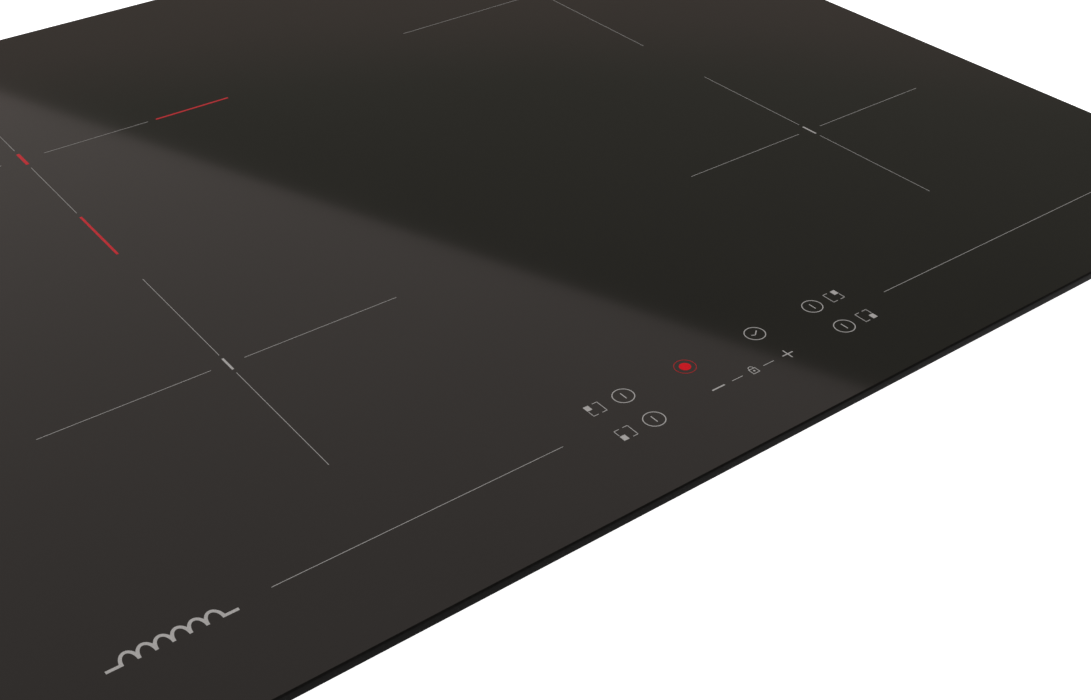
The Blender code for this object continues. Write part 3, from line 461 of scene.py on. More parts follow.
# ---- mesh helpers
def middle_of(node):
    """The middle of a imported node's box."""
    low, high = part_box(node)
    return (low + high) / 2


def arc_points(radius, start, stop, steps, centre=(0, 0)):
    """Points of an arc in plan, with both ends."""
    x, y = centre
    angles = [start + (stop - start) * i / steps for i in range(steps + 1)]
    return [(x + radius * math.cos(angle), y + radius * math.sin(angle)) for angle in angles]


def circle_points(radius, steps, centre=(0, 0), start=0.0):
    """Points of a whole circle in plan."""
    return arc_points(radius, start, start + math.tau, steps, centre)[:-1]


def rounded_outline(half_x, half_y, radius, steps):
    """A rectangle with round corners, anticlockwise."""
    points = []
    for quarter, (sign_x, sign_y) in enumerate([(1, 1), (-1, 1), (-1, -1), (1, -1)]):
        corner = (sign_x * (half_x - radius), sign_y * (half_y - radius))
        turn = math.pi / 2 * quarter
        points += arc_points(radius, turn, turn + math.pi / 2, steps, corner)
    return points


def level(outline, z, place=Matrix.Identity(4)):
    """A plan outline's points at this height."""
    return [place @ Vector((x, y, z)) for x, y in outline]


def shoulder(radius, crown, low, high):
    """A quarter of an ellipse as (radius, z) points, from an upright side up to a flat crown."""
    steps = 8
    quarter = arc_points(1, 0, math.pi / 2, steps)
    return [(crown + (radius - crown) * x, low + (high - low) * y) for x, y in quarter]


def loft(solid, loops, ring=False):
    """Joins loops of points, first to last. The ends are filled, or in a ring the last joins the first."""
    rows = [[solid.verts.new(point) for point in loop] for loop in loops]
    following = rows[1:] + rows[:1] if ring else rows[1:]
    for lower, upper in zip(rows, following):
        for i in range(len(lower)):
            j = (i + 1) % len(lower)
            solid.faces.new((lower[i], lower[j], upper[j], upper[i]))
    if not ring:
        solid.faces.new(list(reversed(rows[0])))
        solid.faces.new(rows[-1])


def turned(solid, profile, steps, place=Matrix.Identity(4), ring=False):
    """A solid turned about Z from (radius, z) points: an upward profile, or a ring's closed section."""
    loft(solid, [level(circle_points(radius, steps), z, place) for radius, z in profile], ring)


def prism(solid, outline, low, high, place=Matrix.Identity(4)):
    """A plan outline carried from one height to another."""
    loft(solid, [level(outline, z, place) for z in (low, high)])


def add_object(name, data):
    thing = bpy.data.objects.new(name, data)
    bpy.context.scene.collection.objects.link(thing)
    return thing


def finished_mesh(name, solid):
    """The mesh that was being built, with its faces turned outwards."""
    bmesh.ops.recalc_face_normals(solid, faces=solid.faces)
    mesh = bpy.data.meshes.new(name)
    solid.to_mesh(mesh)
    solid.free()
    return mesh


def add_piece(name, solid, slot, replaced=None, body="casing", material=None):
    """Makes a piece that rides on its body, in its slot's material unless another is given.

    It is smooth up to its creases, and faces of more than four corners stay flat."""
    crease = math.radians(32)
    mesh = finished_mesh(name, solid)
    mesh.shade_smooth()
    mesh.set_sharp_from_angle(angle=crease)
    for face in mesh.polygons:
        face.use_smooth = len(face.vertices) <= 4
    mesh.materials.append(material or SLOT_MATERIALS[slot])
    piece = add_object(name, mesh)
    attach(piece, body)
    if replaced:
        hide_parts(replaced)
    return piece


# ---- glass and gasket
def build_glass():
    """The plate with a finely rounded rim. Its flat faces are polished, and the rim has a satin grind."""
    rim, corner, rim_steps, corner_steps = 0.8 * MM, 7 * MM, 6, 16
    half_x, half_y = GLASS_HIGH.x, GLASS_HIGH.y
    profile = arc_points(rim, -math.pi / 2, -math.pi, rim_steps, (rim, GLASS_LOW.z + rim))
    profile += arc_points(rim, math.pi, math.pi / 2, rim_steps, (rim, GLASS_TOP - rim))
    loops = []
    for inset, z in profile:
        outline = rounded_outline(half_x - inset, half_y - inset, corner - inset, corner_steps)
        loops.append(level(outline, z))
    solid = bmesh.new()
    loft(solid, loops)
    glass = add_piece("glass_plate", solid, "black_glass", "glass_top")
    glass.data.materials.append(GROUND_EDGE)
    for face in glass.data.polygons:
        face.material_index = 0 if len(face.vertices) > 4 else 1


def build_gasket():
    """Foam gasket whose underside bulges a little between its glued edges."""
    low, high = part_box("perimeter_seal")
    inner_x, inner_y = mm(280, 250.5)
    outer_corner, inner_corner, slump, steps, corner_steps = 6 * MM, 4 * MM, 0.8 * MM, 10, 8
    shares = [i / steps for i in range(steps + 1)]
    section = [(share, low.z + slump * abs(2 * share - 1) ** 3) for share in shares]
    section += [(1.0, high.z), (0.0, high.z)]
    loops = []
    for share, z in section:
        half_x = high.x + (inner_x - high.x) * share
        half_y = high.y + (inner_y - high.y) * share
        corner = outer_corner + (inner_corner - outer_corner) * share
        loops.append(level(rounded_outline(half_x, half_y, corner, corner_steps), z))
    solid = bmesh.new()
    loft(solid, loops, ring=True)
    add_piece("foam_gasket", solid, "black_rubber", "perimeter_seal")


# ---- print on the glass
class Print:
    """One printed symbol, built up from thin raised shapes on the glass."""

    def __init__(self, name, ink):
        self.name, self.ink = name, ink
        self.solid = bmesh.new()

    def shape(self, outline):
        prism(self.solid, outline, INK_LOW, INK_HIGH)

    def line(self, start, stop, width):
        """A straight line with square ends."""
        start, stop = Vector(start), Vector(stop)
        side = (stop - start).normalized().orthogonal() * width / 2
        self.shape([start - side, stop - side, stop + side, start + side])

    def curve(self, centre, radius, start, stop, width, steps):
        """A line along an arc between two angles."""
        inner = arc_points(radius - width / 2, stop, start, steps, centre)
        outer = arc_points(radius + width / 2, start, stop, steps, centre)
        self.shape(outer + inner)

    def ring(self, centre, radius, width):
        inner, outer, steps = radius - width / 2, radius + width / 2, 56
        section = [(inner, INK_LOW), (outer, INK_LOW), (outer, INK_HIGH), (inner, INK_HIGH)]
        turned(self.solid, section, steps, Matrix.Translation((*centre, 0)), ring=True)

    def disc(self, centre, radius, steps=40):
        self.shape(circle_points(radius, steps, centre))

    def block(self, corner, opposite):
        (x0, y0), (x1, y1) = corner, opposite
        self.shape([(x0, y0), (x1, y0), (x1, y1), (x0, y1)])

    def finish(self):
        add_piece(self.name, self.solid, "black_glass", material=self.ink)


def zone_centre(zone):
    """The middle of the temperature sensor, which is the middle of its zone."""
    return middle_of(f"temperature_sensor_{zone}").to_2d()


def print_cross(mark, centre, start, stop, width):
    """Four arms round a zone's centre."""
    for arm in ((1, 0), (0, 1), (-1, 0), (0, -1)):
        direction = Vector(arm)
        mark.line(centre + direction * start, centre + direction * stop, width)


def print_zones():
    """Each zone's cross, with a tick in its middle. The double zone's tick and second ring are red."""
    for zone, (start, stop, half_tick) in ZONES.items():
        centre = zone_centre(zone)
        up = Vector((0, half_tick))
        mark = Print(f"zone_marks_{zone}", WHITE_INK)
        print_cross(mark, centre, start, stop, LINE)
        tick = TICK
        if zone == DOUBLE_ZONE:
            mark.finish()
            mark = Print(f"zone_marks_{zone}_outer", RED_INK)
            print_cross(mark, centre, *OUTER_ARM, RED_LINE)
            tick = RED_TICK
        mark.line(centre - up, centre + up, tick)
        mark.finish()


def print_guide_lines():
    """The long lines on both sides of the keys."""
    for side, (start, stop) in GUIDE_LINES.items():
        mark = Print(f"guide_line_{side}", WHITE_INK)
        mark.line((start, GUIDE_LINE_Y), (stop, GUIDE_LINE_Y), LINE)
        mark.finish()


def print_zone_icon(mark, centre, side, end):
    """A square of two brackets, with a filled block in the corner where the zone is."""
    x, y = centre
    half, gap, width = mm(3.15, 0.85, 0.28)
    block_width, block_depth, overhang = mm(2.35, 2.9, 0.2)
    for edge in (-1, 1):
        for row in (-1, 1):
            if (edge, row) != (side, end):
                bracket_end = x + edge * (half + width / 2)
                mark.line((x + edge * gap, y + row * half), (bracket_end, y + row * half), width)
        reach = 0 if edge == side else half
        mark.line((x + edge * half, y - end * half), (x + edge * half, y + end * reach), width)
    corner = Vector((x + side * (half + overhang), y + end * (half + overhang)))
    mark.block(corner, corner - Vector((side * block_width, end * block_depth)))


def print_power_keys():
    """The four zone keys: a ring with a bar, and the icon that says which zone it is."""
    bar = Vector((0, 1.95 * MM))
    for place, (side, end) in CORNERS.items():
        y = KEY_ROW_REAR if end > 0 else KEY_ROW_FRONT
        centre = Vector((POWER_KEYS[side], y))
        mark = Print(f"key_zone_{place}", WHITE_INK)
        mark.ring(centre, KEY_RADIUS, KEY_LINE)
        mark.line(centre - bar, centre + bar, KEY_HAND)
        print_zone_icon(mark, (ZONE_ICONS[side], y), side, end)
        mark.finish()


def print_main_key():
    """The red main key over its light guide: a thin ring round a filled disc, in red ink with a painted glow
    of the light guide.
    """
    centre = (MAIN_KEY_X, KEY_ROW_REAR)
    ring_radius, ring_line, disc_radius = mm(4.4, 0.17, 2.4)
    mark = Print("key_main", KEY_RED_INK_AND_GLOW)
    mark.ring(centre, ring_radius, ring_line)
    mark.disc(centre, disc_radius)
    mark.finish()


def print_timer_key():
    """A clock: a ring with a short and a long hand. The long one starts a little beyond their elbow."""
    centre = Vector((TIMER_X, KEY_ROW_REAR))
    elbow, tail = Vector((-0.6, -0.9)) * MM, Vector((-0.8, -1.02)) * MM
    short_tip, long_tip = Vector((-2.0, -0.1)) * MM, Vector((1.95, 1.2)) * MM
    mark = Print("key_timer", WHITE_INK)
    mark.ring(centre, KEY_RADIUS, KEY_LINE)
    mark.line(centre + elbow, centre + short_tip, KEY_HAND)
    mark.line(centre + tail, centre + long_tip, KEY_HAND)
    mark.finish()


def print_setting_keys():
    """Minus, plus and the two dashes between them, with room for the padlock."""
    y = KEY_ROW_FRONT
    half_minus, half_plus, half_dash = mm(3.15, 2.75, 2.75)
    thick, medium, thin = mm(0.66, 0.5, 0.28)
    minus = Print("key_minus", WHITE_INK)
    minus.line((MINUS_X - half_minus, y), (MINUS_X + half_minus, y), thick)
    minus.finish()
    plus = Print("key_plus", WHITE_INK)
    plus.line((PLUS_X - half_plus, y), (PLUS_X + half_plus, y), medium)
    for way in (-1, 1):
        plus.line((PLUS_X, y + way * medium / 2), (PLUS_X, y + way * half_plus), medium)
    plus.finish()
    for side, x in DASHES.items():
        dash = Print(f"key_dash_{side}", WHITE_INK)
        dash.line((x - half_dash, y), (x + half_dash, y), thin)
        dash.finish()


def print_padlock():
    """A small padlock: body outline, keyhole and shackle."""
    half_x, half_y, width, keyhole, shackle = mm(1.55, 1.45, 0.3, 0.45, 1.05)
    drop, leg, steps = 0.3 * MM, 0.5 * MM, 16
    y = KEY_ROW_FRONT - drop
    top = y + half_y
    lock = Print("key_lock", WHITE_INK)
    for way in (-1, 1):
        row, column, foot = y + way * half_y, LOCK_X + way * half_x, LOCK_X + way * shackle
        lock.line((LOCK_X - half_x - width / 2, row), (LOCK_X + half_x + width / 2, row), width)
        lock.line((column, y - half_y + width / 2), (column, top - width / 2), width)
        lock.line((foot, top + width / 2), (foot, top + leg), width)
    lock.disc((LOCK_X, y), keyhole, steps)
    lock.curve((LOCK_X, top + leg), shackle, 0, math.pi, width, steps)
    lock.finish()


def print_coil_pictogram():
    """A plain coil symbol in the print's front left corner: a lead, a row of tall loops and a lead.

    It is one outline: along the foot, over the inside of each loop, and back over the outsides."""
    half_width, half_height, stroke, lead = mm(2.9, 5.0, 1.25, 5.2)
    loops = 6
    drop, steps = 2.9 * MM, 20
    foot = GUIDE_LINE_Y - drop
    outer_x, outer_y = half_width + stroke / 2, half_height + stroke / 2
    inner_x, inner_y = half_width - stroke / 2, half_height - stroke / 2
    at_lead, at_cusp = math.asin(stroke / outer_y), math.acos(half_width / outer_x)

    def over(centre, reach_x, reach_y, start, stop):
        """Points over the loop round this centre, from one angle to another."""
        return [(centre + reach_x * x, foot + reach_y * y) for x, y in arc_points(1, start, stop, steps)]

    centres = [PICTOGRAM_X + lead + half_width * (2 * i + 1) for i in range(loops)]
    end = centres[-1] + half_width + lead
    outline = [(PICTOGRAM_X, foot)]
    for centre in centres:
        outline += over(centre, inner_x, inner_y, math.pi, 0)
    outline += [(end, foot), (end, foot + stroke)]
    for centre in reversed(centres):
        start = at_lead if centre == centres[-1] else at_cusp
        stop = math.pi - (at_lead if centre == centres[0] else at_cusp)
        points = over(centre, outer_x, outer_y, start, stop)
        outline += points if centre == centres[-1] else points[1:]  # neighbours share the cusp's point
    outline.append((PICTOGRAM_X, foot + stroke))
    mark = Print("coil_pictogram", WHITE_INK)
    mark.shape(outline)
    mark.finish()


# ---- coils
def deck_of(place):
    """The sprung coil deck on this side."""
    return "coil_deck_" + place.split("_")[1]


def build_windings():
    """Flat spirals of round litz wire, its turns side by side."""
    wire, pitch, sides = 1.6 * MM, 3.35 * MM, 8
    for name, (inner, outer, steps) in WINDINGS.items():
        zone = name.removesuffix("_inner").removesuffix("_outer")
        node = f"winding_{name}"
        middle = Matrix.Translation((*zone_centre(zone), middle_of(node).z))
        start, stop = inner + wire, outer - wire
        count = math.floor((stop - start) / pitch) * steps
        loops = []
        for i in range(count + 1):
            place = middle @ Matrix.Rotation(math.tau * i / steps, 4, "Z")
            radius = start + (stop - start) * i / count
            section = circle_points(wire, sides, (radius, 0), math.pi / sides)
            loops.append([place @ Vector((reach, 0, z)) for reach, z in section])
        solid = bmesh.new()
        loft(solid, loops)
        add_piece(f"litz_{node}", solid, "copper_litz", node, deck_of(zone))


def build_formers():
    """Moulded discs under the windings, with an upright rim and hub whose edges are broken."""
    floor, wall, hub, soft = mm(1.8, 1.2, 9.5, 0.35)
    steps = 96
    for zone in ZONES:
        low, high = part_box(f"coil_former_{zone}")
        radius, top = (high.x - low.x) / 2, high.z - low.z
        section = [(hub + soft, 0), (radius - soft, 0), (radius, soft), (radius, top - soft)]
        section += [(radius - soft, top), (radius - wall + soft, top), (radius - wall, top - soft)]
        section += [(radius - wall, floor), (hub + wall, floor), (hub + wall, top - soft)]
        section += [(hub + wall - soft, top), (hub + soft, top), (hub, top - soft), (hub, soft)]
        solid = bmesh.new()
        turned(solid, section, steps, Matrix.Translation((*zone_centre(zone), low.z)), ring=True)
        add_piece(f"coil_bobbin_{zone}", solid, "white_plastic", f"coil_former_{zone}", deck_of(zone))


def build_sensors():
    """Silicone caps with a rounded crown and a bellows fold half-way up."""
    crown, crown_height, neck, steps = 5 * MM, 2.2 * MM, 1.3 * MM, 40
    fold = ((0, 5.6), (0.5, 5.0), (1.6, 4.2), (0.9, 3.4))  # mm in from the side and down from the top
    for zone in ZONES:
        low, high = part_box(f"temperature_sensor_{zone}")
        foot, height = (high.x - low.x) / 2, high.z - low.z
        profile = [(foot, 0)]
        profile += [(foot - inset * MM, height - drop * MM) for inset, drop in fold]
        profile += shoulder(foot - neck, crown, height - crown_height, height)
        solid = bmesh.new()
        turned(solid, profile, steps, Matrix.Translation((*zone_centre(zone), low.z)))
        add_piece(f"sensor_cap_{zone}", solid, "silicone", f"temperature_sensor_{zone}", deck_of(zone))


# ---- fasteners and fittings
UP_TO_BACK = Matrix.Rotation(math.radians(-90), 4, "X")  # turns +Z to +Y


def cut(solid, tool):
    """Takes the closed shapes in tool away from those in solid, and gives the result."""
    blank = add_object("blank", finished_mesh("blank", solid))
    cutter = add_object("cutter", finished_mesh("cutter", tool))
    modifier = blank.modifiers.new("Cut", "BOOLEAN")
    modifier.operation = "DIFFERENCE"
    modifier.object = cutter
    result = bmesh.new()
    result.from_object(blank, bpy.context.evaluated_depsgraph_get())
    for mesh in (blank.data, cutter.data):
        bpy.data.meshes.remove(mesh)  # takes its object with it
    return result


def cross_recess(width, blade, floor_z, mouth_z):
    """A cross for a screwdriver, tapered from its mouth to its floor."""
    floor_share = 0.675  # of the width at the mouth
    half = blade / 2
    loops = []
    for z, share in ((floor_z, floor_share), (mouth_z, 1.0)):
        arm = [(half, half), (half, width / 2 * share), (-half, width / 2 * share)]
        outline = []
        for _ in range(4):
            outline += arm
            arm = [(-y, x) for x, y in arm]
        loops.append(level(outline, z))
    tool = bmesh.new()
    loft(tool, loops)
    return tool


def build_case_screws():
    """Pan-head screws with a cross recess, at the tray's flanks."""
    shank, tip, tip_length, steps = 1.45 * MM, 0.3 * MM, 0.9 * MM, 40
    head, crown, edge, head_height = mm(3.4, 1.53, 0.5, 2.0)
    recess_width, blade, recess_depth, beyond = mm(3.9, 0.85, 1.1, 0.5)
    for place, (side, _) in CORNERS.items():
        node = f"case_screw_{place}"
        low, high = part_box(node)
        length = high.x - low.x - head_height
        seat = middle_of(node)
        seat.x = (high.x if side > 0 else low.x) - side * head_height
        profile = [(tip, -length), (shank, -length + tip_length), (shank, 0), (head, 0)]
        profile += shoulder(head, crown, edge, head_height)
        blank = bmesh.new()
        turned(blank, profile, steps)
        recess = cross_recess(recess_width, blade, head_height - recess_depth, head_height + beyond)
        screw = cut(blank, recess)
        screw.transform(Matrix.Translation(seat) @ Matrix.Rotation(side * math.pi / 2, 4, "Y"))
        add_piece(f"pan_head_screw_{place}", screw, "zinc_screw", node)


def thread_loops(start, stop):
    """Loops of points up a thread that narrows at its tip. The first lies a little inside the head."""
    pitch, crest, root, rings_a_turn, segments = 1.0 * MM, 2.0 * MM, 1.55 * MM, 4, 20
    tip_length, tip_share, sunk = 1.6 * MM, 0.6, 0.05 * MM
    rings = round((stop - start) / pitch * rings_a_turn)
    loops = []
    for i in range(rings + 1):
        z = start - sunk + (stop - start + sunk) * i / rings
        narrowing = tip_share + (1 - tip_share) * min(1.0, (stop - z) / tip_length)
        loop = []
        for j in range(segments):
            turn = j / segments
            height = abs((z / pitch - turn) % 1.0 * 2 - 1)
            radius = (root + (crest - root) * height) * narrowing
            loop.append((radius * math.cos(math.tau * turn), radius * math.sin(math.tau * turn), z))
        loops.append(loop)
    return loops


def build_clamp_screws():
    """Clamp screws with a real thread, headed below, and a cross recess in the head's underside."""
    head, face, head_height, edge, bevel = mm(3.7, 2.9, 3.5, 0.25, 1.1)
    steps = 40
    recess_width, blade, recess_depth, beyond = mm(4.4, 0.95, 1.9, 0.5)
    for place in CORNERS:
        node = f"clamp_screw_{place}"
        low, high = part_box(node)
        foot = middle_of(node)
        foot.z = low.z
        profile = [(face, 0), (head - edge, 3 * edge), (head, bevel)]
        profile += [(head, head_height - edge), (head - edge, head_height)]
        blank = bmesh.new()
        turned(blank, profile, steps)
        screw = cut(blank, cross_recess(recess_width, blade, recess_depth, -beyond))
        loft(screw, thread_loops(head_height, high.z - low.z))
        screw.transform(Matrix.Translation(foot))
        add_piece(f"threaded_{node}", screw, "zinc_screw", node, body=node)


def build_cable_bush():
    """Rubber strain relief: a bore through two round-edged flanges, with grooves in the outer face."""
    low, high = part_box("cable_bush")
    middle = middle_of("cable_bush")
    length, flange, neck, bore = high.y - low.y, (high.x - low.x) / 2, 6.1 * MM, 4.6 * MM
    lip, soft, grooves, steps = 2.1 * MM, 0.6 * MM, 3, 64
    land, pitch, slope, width, depth = mm(1.0, 0.9, 0.2, 0.45, 0.35)  # of the grooves
    section = [(bore, length - soft), (bore, soft), (bore + soft, 0)]
    section += [(flange - soft, 0), (flange, soft), (flange, lip - soft), (flange - soft, lip), (neck, lip)]
    section += [(neck, length - lip), (flange - soft, length - lip), (flange, length - lip + soft)]
    section += [(flange, length - soft), (flange - soft, length)]
    for i in range(grooves):
        start = flange - land - i * pitch
        section += [(start, length), (start - slope, length - depth), (start - width, length)]
    section.append((bore + soft, length))
    solid = bmesh.new()
    place = Matrix.Translation((middle.x, low.y, middle.z)) @ UP_TO_BACK
    turned(solid, section, steps, place, ring=True)
    add_piece("ribbed_cable_bush", solid, "black_rubber", "cable_bush")


def build_cover_ribs():
    """Stiffening ribs across the terminal cover, with round ends."""
    low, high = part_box("terminal_cover")
    face_y, sunk, proud, soft, half_height = mm(243.3, 0.1, 0.7, 0.25, 0.7)
    margin, first, pitch, ribs, steps = 9 * MM, 10 * MM, 5.2 * MM, 4, 6
    half_length = (high.x - low.x) / 2 - margin
    section = ((face_y - sunk, 0), (face_y + proud - soft, 0), (face_y + proud, soft))
    solid = bmesh.new()
    for i in range(ribs):
        place = Matrix.Translation(((low.x + high.x) / 2, 0, low.z + first + i * pitch)) @ UP_TO_BACK
        loops = []
        for y, inset in section:
            outline = rounded_outline(half_length - inset, half_height - inset, half_height - inset, steps)
            loops.append(level(outline, y, place))
        loft(solid, loops)
    add_piece("terminal_cover_ribs", solid, "black_plastic", body="terminal_cover")


def build_leaf_springs():
    """Bowed strips with rolled edges under the coil plates."""
    steps, strip, edge = 40, 0.8 * MM, 0.2 * MM
    for name in CORNERS:
        low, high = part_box(f"leaf_spring_{name}")
        rise = high.z - low.z - strip
        loops = []
        for i in range(steps + 1):
            share = i / steps
            x, z = low.x + (high.x - low.x) * share, low.z + rise * math.sin(math.pi * share) ** 2
            section = [(low.y, z + edge), (low.y + edge, z), (high.y - edge, z), (high.y, z + edge)]
            section += [(high.y, z + strip - edge), (high.y - edge, z + strip)]
            section += [(low.y + edge, z + strip), (low.y, z + strip - edge)]
            loops.append([(x, y, height) for y, height in section])
        solid = bmesh.new()
        loft(solid, loops)
        spring = add_piece(f"bowed_spring_{name}", solid, "spring_steel", f"leaf_spring_{name}")
        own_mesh(spring)


def build_terminal_screws():
    """Brass clamping screws down the terminal block's wells, their slots at odd angles."""
    poles, radius, height, edge, steps = 5, 2.1 * MM, 3.5 * MM, 0.3 * MM, 32
    half_length, half_width, slot_depth = mm(2.5, 0.35, 1)
    forward, depth, first_turn, next_turn = 3 * MM, 6 * MM, math.radians(17), math.radians(31)
    low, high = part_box("terminal_block")
    middle = middle_of("terminal_block")
    profile = [(radius, 0), (radius, height - edge), (radius - edge, height)]
    slot = [(-half_length, -half_width), (half_length, -half_width)]
    slot += [(half_length, half_width), (-half_length, half_width)]
    heads, slots = bmesh.new(), bmesh.new()
    for i in range(poles):
        x = low.x + (high.x - low.x) * (i + 0.5) / poles
        place = Matrix.Translation((x, middle.y - forward, high.z - depth))
        place = place @ Matrix.Rotation(first_turn + i * next_turn, 4, "Z")
        turned(heads, profile, steps, place)
        prism(slots, slot, height - slot_depth, height + slot_depth, place)
    add_piece("terminal_screws", cut(heads, slots), "white_plastic", material=BRASS)


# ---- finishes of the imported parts
def soft_edge_group():
    """Geometry nodes that weld the imported triangles and shade them smooth."""
    group = bpy.data.node_groups.new("weld_and_smooth", "GeometryNodeTree")
    for direction in ("INPUT", "OUTPUT"):
        group.interface.new_socket("Geometry", in_out=direction, socket_type="NodeSocketGeometry")
    entry = group.nodes.new("NodeGroupInput")
    weld = group.nodes.new("GeometryNodeMergeByDistance")
    set_inputs(weld, Distance=0.002 * MM)
    smooth = group.nodes.new("GeometryNodeSetShadeSmooth")
    leave = group.nodes.new("NodeGroupOutput")
    for source, target in ((entry, weld), (weld, smooth), (smooth, leave)):
        group.links.new(source.outputs[0], target.inputs[0])
    return group


def soften(node, width, group):
    """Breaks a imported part's sharp edges, as a bend or a mould does."""
    weld = node.modifiers.new("Weld and smooth", "NODES")
    weld.node_group = group
    flat = node.modifiers.new("Flat faces", "DECIMATE")
    flat.decimate_type = "DISSOLVE"
    flat.angle_limit = math.radians(0.5)
    edge = node.modifiers.new("Broken edges", "BEVEL")
    edge.width = width
    edge.segments = 2
    edge.limit_method = "ANGLE"
    edge.angle_limit = math.radians(35)
    normals = node.modifiers.new("Face normals", "WEIGHTED_NORMAL")
    normals.keep_sharp = False


def component_groups(mesh, floor):
    """The faces above this height, as one set for each component: its faces meet at their corners."""
    meeting = {}
    for face in mesh.polygons:
        if face.center.z > floor:
            for corner in face.vertices:
                place = tuple(round(value, 5) for value in mesh.vertices[corner].co)
                meeting.setdefault(place, []).append(face.index)
    groups = {}
    for faces in meeting.values():
        joined = set(faces).union(*(groups.get(face, ()) for face in faces))
        groups.update(dict.fromkeys(joined, joined))
    components = {max(group): group for group in groups.values()}
    return [components[last] for last in sorted(components)]


def dress_components(board):
    """Gives each component on a circuit board its own casing: dark sleeves on the round cans, and a mix."""
    can_slot, first_box_slot, box_sides, above = 1, 2, 4, 0.2 * MM
    level_face, upright_face = 0.9, 0.1  # the least and the most upward part of such a face's normal
    mesh = board.data
    for material in [CAN_SLEEVE, *COMPONENTS]:
        mesh.materials.append(material)
    areas = {}
    for face in mesh.polygons:
        if face.normal.z > level_face:
            height = round(face.center.z, 5)
            areas[height] = areas.get(height, 0) + face.area
    board_top = max(areas, key=areas.get)
    boxes = 0
    for group in component_groups(mesh, board_top + above):
        normals = [mesh.polygons[i].normal for i in group]
        sides = [normal for normal in normals if abs(normal.z) < upright_face]
        headings = {round(math.atan2(side.y, side.x), 1) for side in sides}
        slot = can_slot
        if len(headings) <= box_sides:
            slot = first_box_slot + boxes % len(COMPONENTS)
            boxes += 1
        for i in group:
            mesh.polygons[i].material_index = slot


def dress_packed_parts():
    """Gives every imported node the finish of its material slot."""
    group = soft_edge_group()
    slots = {entry["node"]: entry["material_slot"] for entry in frame["record"]["subparts"]}
    for name, node in frame["nodes"].items():
        node.data.materials.clear()
        node.data.materials.append(SLOT_MATERIALS[slots[name]])
        if slots[name] == "circuit_board":
            dress_components(node)
        for start, width in SOFT_EDGES.items():
            if name.startswith(start):
                soften(node, width, group)
    frame["nodes"]["ribbon_cable"].data.materials[0] = ribbon_cable()


# ---- studio
def build_floor():
    """A wide pale floor."""
    gap, steps = 0.2 * MM, 96
    sheet = bmesh.new()
    bmesh.ops.create_circle(sheet, cap_ends=True, segments=steps, radius=FLOOR_RADIUS)
    floor = add_object("floor", bpy.data.meshes.new("floor"))
    sheet.to_mesh(floor.data)
    sheet.free()
    floor.location.z = CAD_BOX[0].z - gap
    paint = Finish("pale_floor", (0.86, 0.86, 0.86), 0.8, Specular_IOR_Level=0.1)
    paint.colour(paint.noise(3, 2), (0.85, 0.85, 0.85), (0.88, 0.88, 0.88))
    set_inputs(paint.shader, Emission_Color=(1, 1, 1, 1))
    rays = paint.add("ShaderNodeLightPath")
    glow = paint.between(rays.outputs["Is Camera Ray"], 0, FLOOR_GLOW)
    paint.link(glow, paint.shader.inputs["Emission Strength"])
    floor.data.materials.append(paint.material)


def build_world():
    """White to the camera, soft light on the object, and a dim room in the reflections."""
    world = bpy.data.worlds.new("studio")
    bpy.context.scene.world = world
    world.use_nodes = True
    tree = world.node_tree
    tree.nodes.clear()
    rays = tree.nodes.new("ShaderNodeLightPath")

    def background(strength=1.0):
        shader = tree.nodes.new("ShaderNodeBackground")
        set_inputs(shader, Color=(1, 1, 1, 1), Strength=strength)
        return shader

    def choose(ray, others, these):
        """One shader for rays of this kind, and another for all others."""
        mix = tree.nodes.new("ShaderNodeMixShader")
        for source, target in zip((rays.outputs[ray], others.outputs[0], these.outputs[0]), mix.inputs):
            tree.links.new(source, target)
        return mix

    coordinates = tree.nodes.new("ShaderNodeTexCoord")
    split = tree.nodes.new("ShaderNodeSeparateXYZ")
    ramp = tree.nodes.new("ShaderNodeValToRGB")
    set_stops(ramp.color_ramp, ROOM)
    room = background()
    tree.links.new(coordinates.outputs["Generated"], split.inputs["Vector"])
    tree.links.new(split.outputs["Z"], ramp.inputs["Fac"])
    tree.links.new(ramp.outputs["Color"], room.inputs["Color"])
    unseen = choose("Is Glossy Ray", background(ROOM_LIGHT), room)
    everything = choose("Is Camera Ray", unseen, background())
    out = tree.nodes.new("ShaderNodeOutputWorld")
    tree.links.new(everything.outputs[0], out.inputs["Surface"])


def add_area_light(name, place, size, power, colour=(1, 1, 1)):
    """A rectangular light that the camera doesn't see."""
    data = bpy.data.lights.new(name, "AREA")
    data.shape = "RECTANGLE"
    data.size, data.size_y = size
    data.energy = power
    data.color = colour
    light = add_object(name, data)
    light.location = place
    light.visible_camera = False
    return light


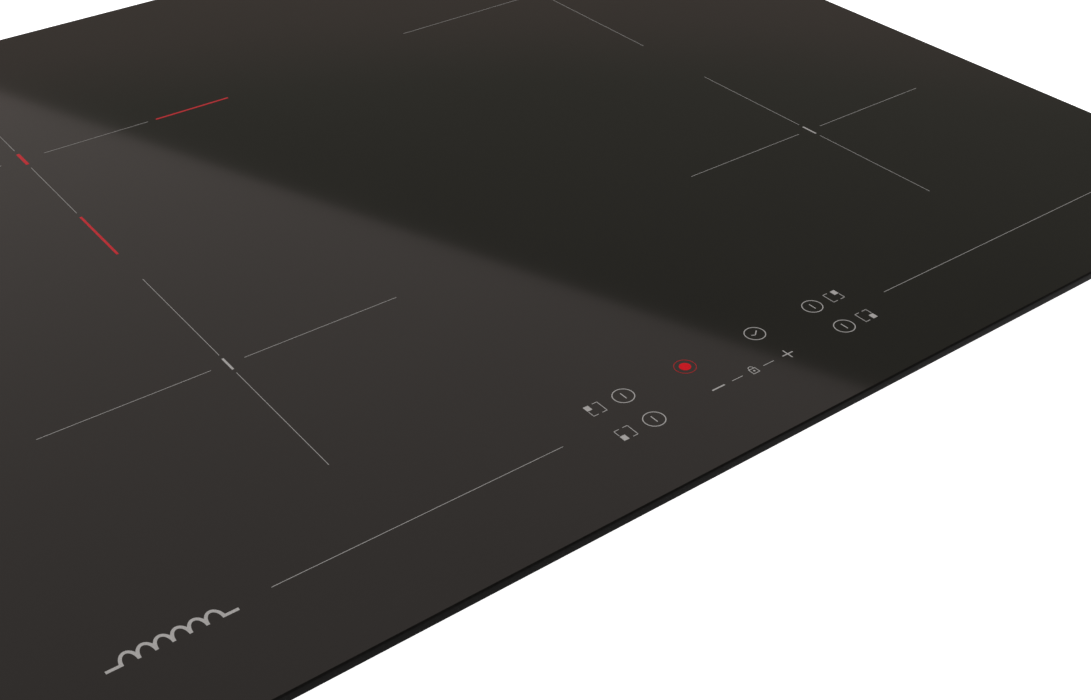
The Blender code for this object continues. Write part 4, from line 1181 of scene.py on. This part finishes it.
def mirrored_point(eye, spot, height):
    """Where the line of sight to this spot on the glass, mirrored, reaches this height."""
    mirrored_eye = Vector((eye.x, eye.y, 2 * GLASS_TOP - eye.z))
    target = Vector((spot.x, spot.y, GLASS_TOP))
    return mirrored_eye + (target - mirrored_eye) * (height - mirrored_eye.z) / (GLASS_TOP - mirrored_eye.z)


def build_lights(eye):
    """The overhead softbox whose edge the glass mirrors, and soft fills for the case."""
    far, near = (mirrored_point(eye, spot, SOFTBOX_HEIGHT) for spot in REFLECTED_EDGE)
    along = (near - far).normalized()
    across = Vector((along.y, -along.x, 0))
    centre = (far + near) / 2 + across * SOFTBOX_SIZE[0] / 2
    softbox = add_area_light("softbox", centre, SOFTBOX_SIZE, SOFTBOX_POWER, SOFTBOX_COLOUR)
    softbox.rotation_euler.z = math.atan2(along.y, along.x) - math.pi / 2
    for name, (place, size, power) in FILLS.items():
        fill = add_area_light(name, place, size, power)
        fill.rotation_euler = (Vector(FILL_AIM) - Vector(place)).to_track_quat("-Z", "Y").to_euler()


def build_camera():
    """Looks down over the glass from the front left."""
    data = bpy.data.cameras.new("camera")
    data.sensor_width = SENSOR_WIDTH
    data.lens = CAMERA_LENS
    data.clip_start = 10 * MM
    camera = add_object("camera", data)
    glass_middle = middle_of("glass_top").to_2d().to_3d() + Vector((0, 0, GLASS_TOP))
    camera.location = glass_middle + CAMERA_OFFSET
    forward = Vector((math.sin(CAMERA_HEADING), math.cos(CAMERA_HEADING), -math.tan(CAMERA_PITCH)))
    turn = forward.to_track_quat("-Z", "Y").to_matrix()
    camera.rotation_euler = (turn @ Matrix.Rotation(CAMERA_ROLL, 3, "Z")).to_euler()
    bpy.context.scene.camera = camera
    return camera


dress_packed_parts()
build_glass()
build_gasket()
print_zones()
print_guide_lines()
print_power_keys()
print_main_key()
print_timer_key()
print_setting_keys()
print_padlock()
print_coil_pictogram()
build_windings()
build_formers()
build_sensors()
build_case_screws()
build_clamp_screws()
build_cable_bush()
build_cover_ribs()
build_leaf_springs()
build_terminal_screws()
build_floor()
build_world()
build_lights(build_camera().location)
bpy.context.scene.view_settings.view_transform = "Standard"
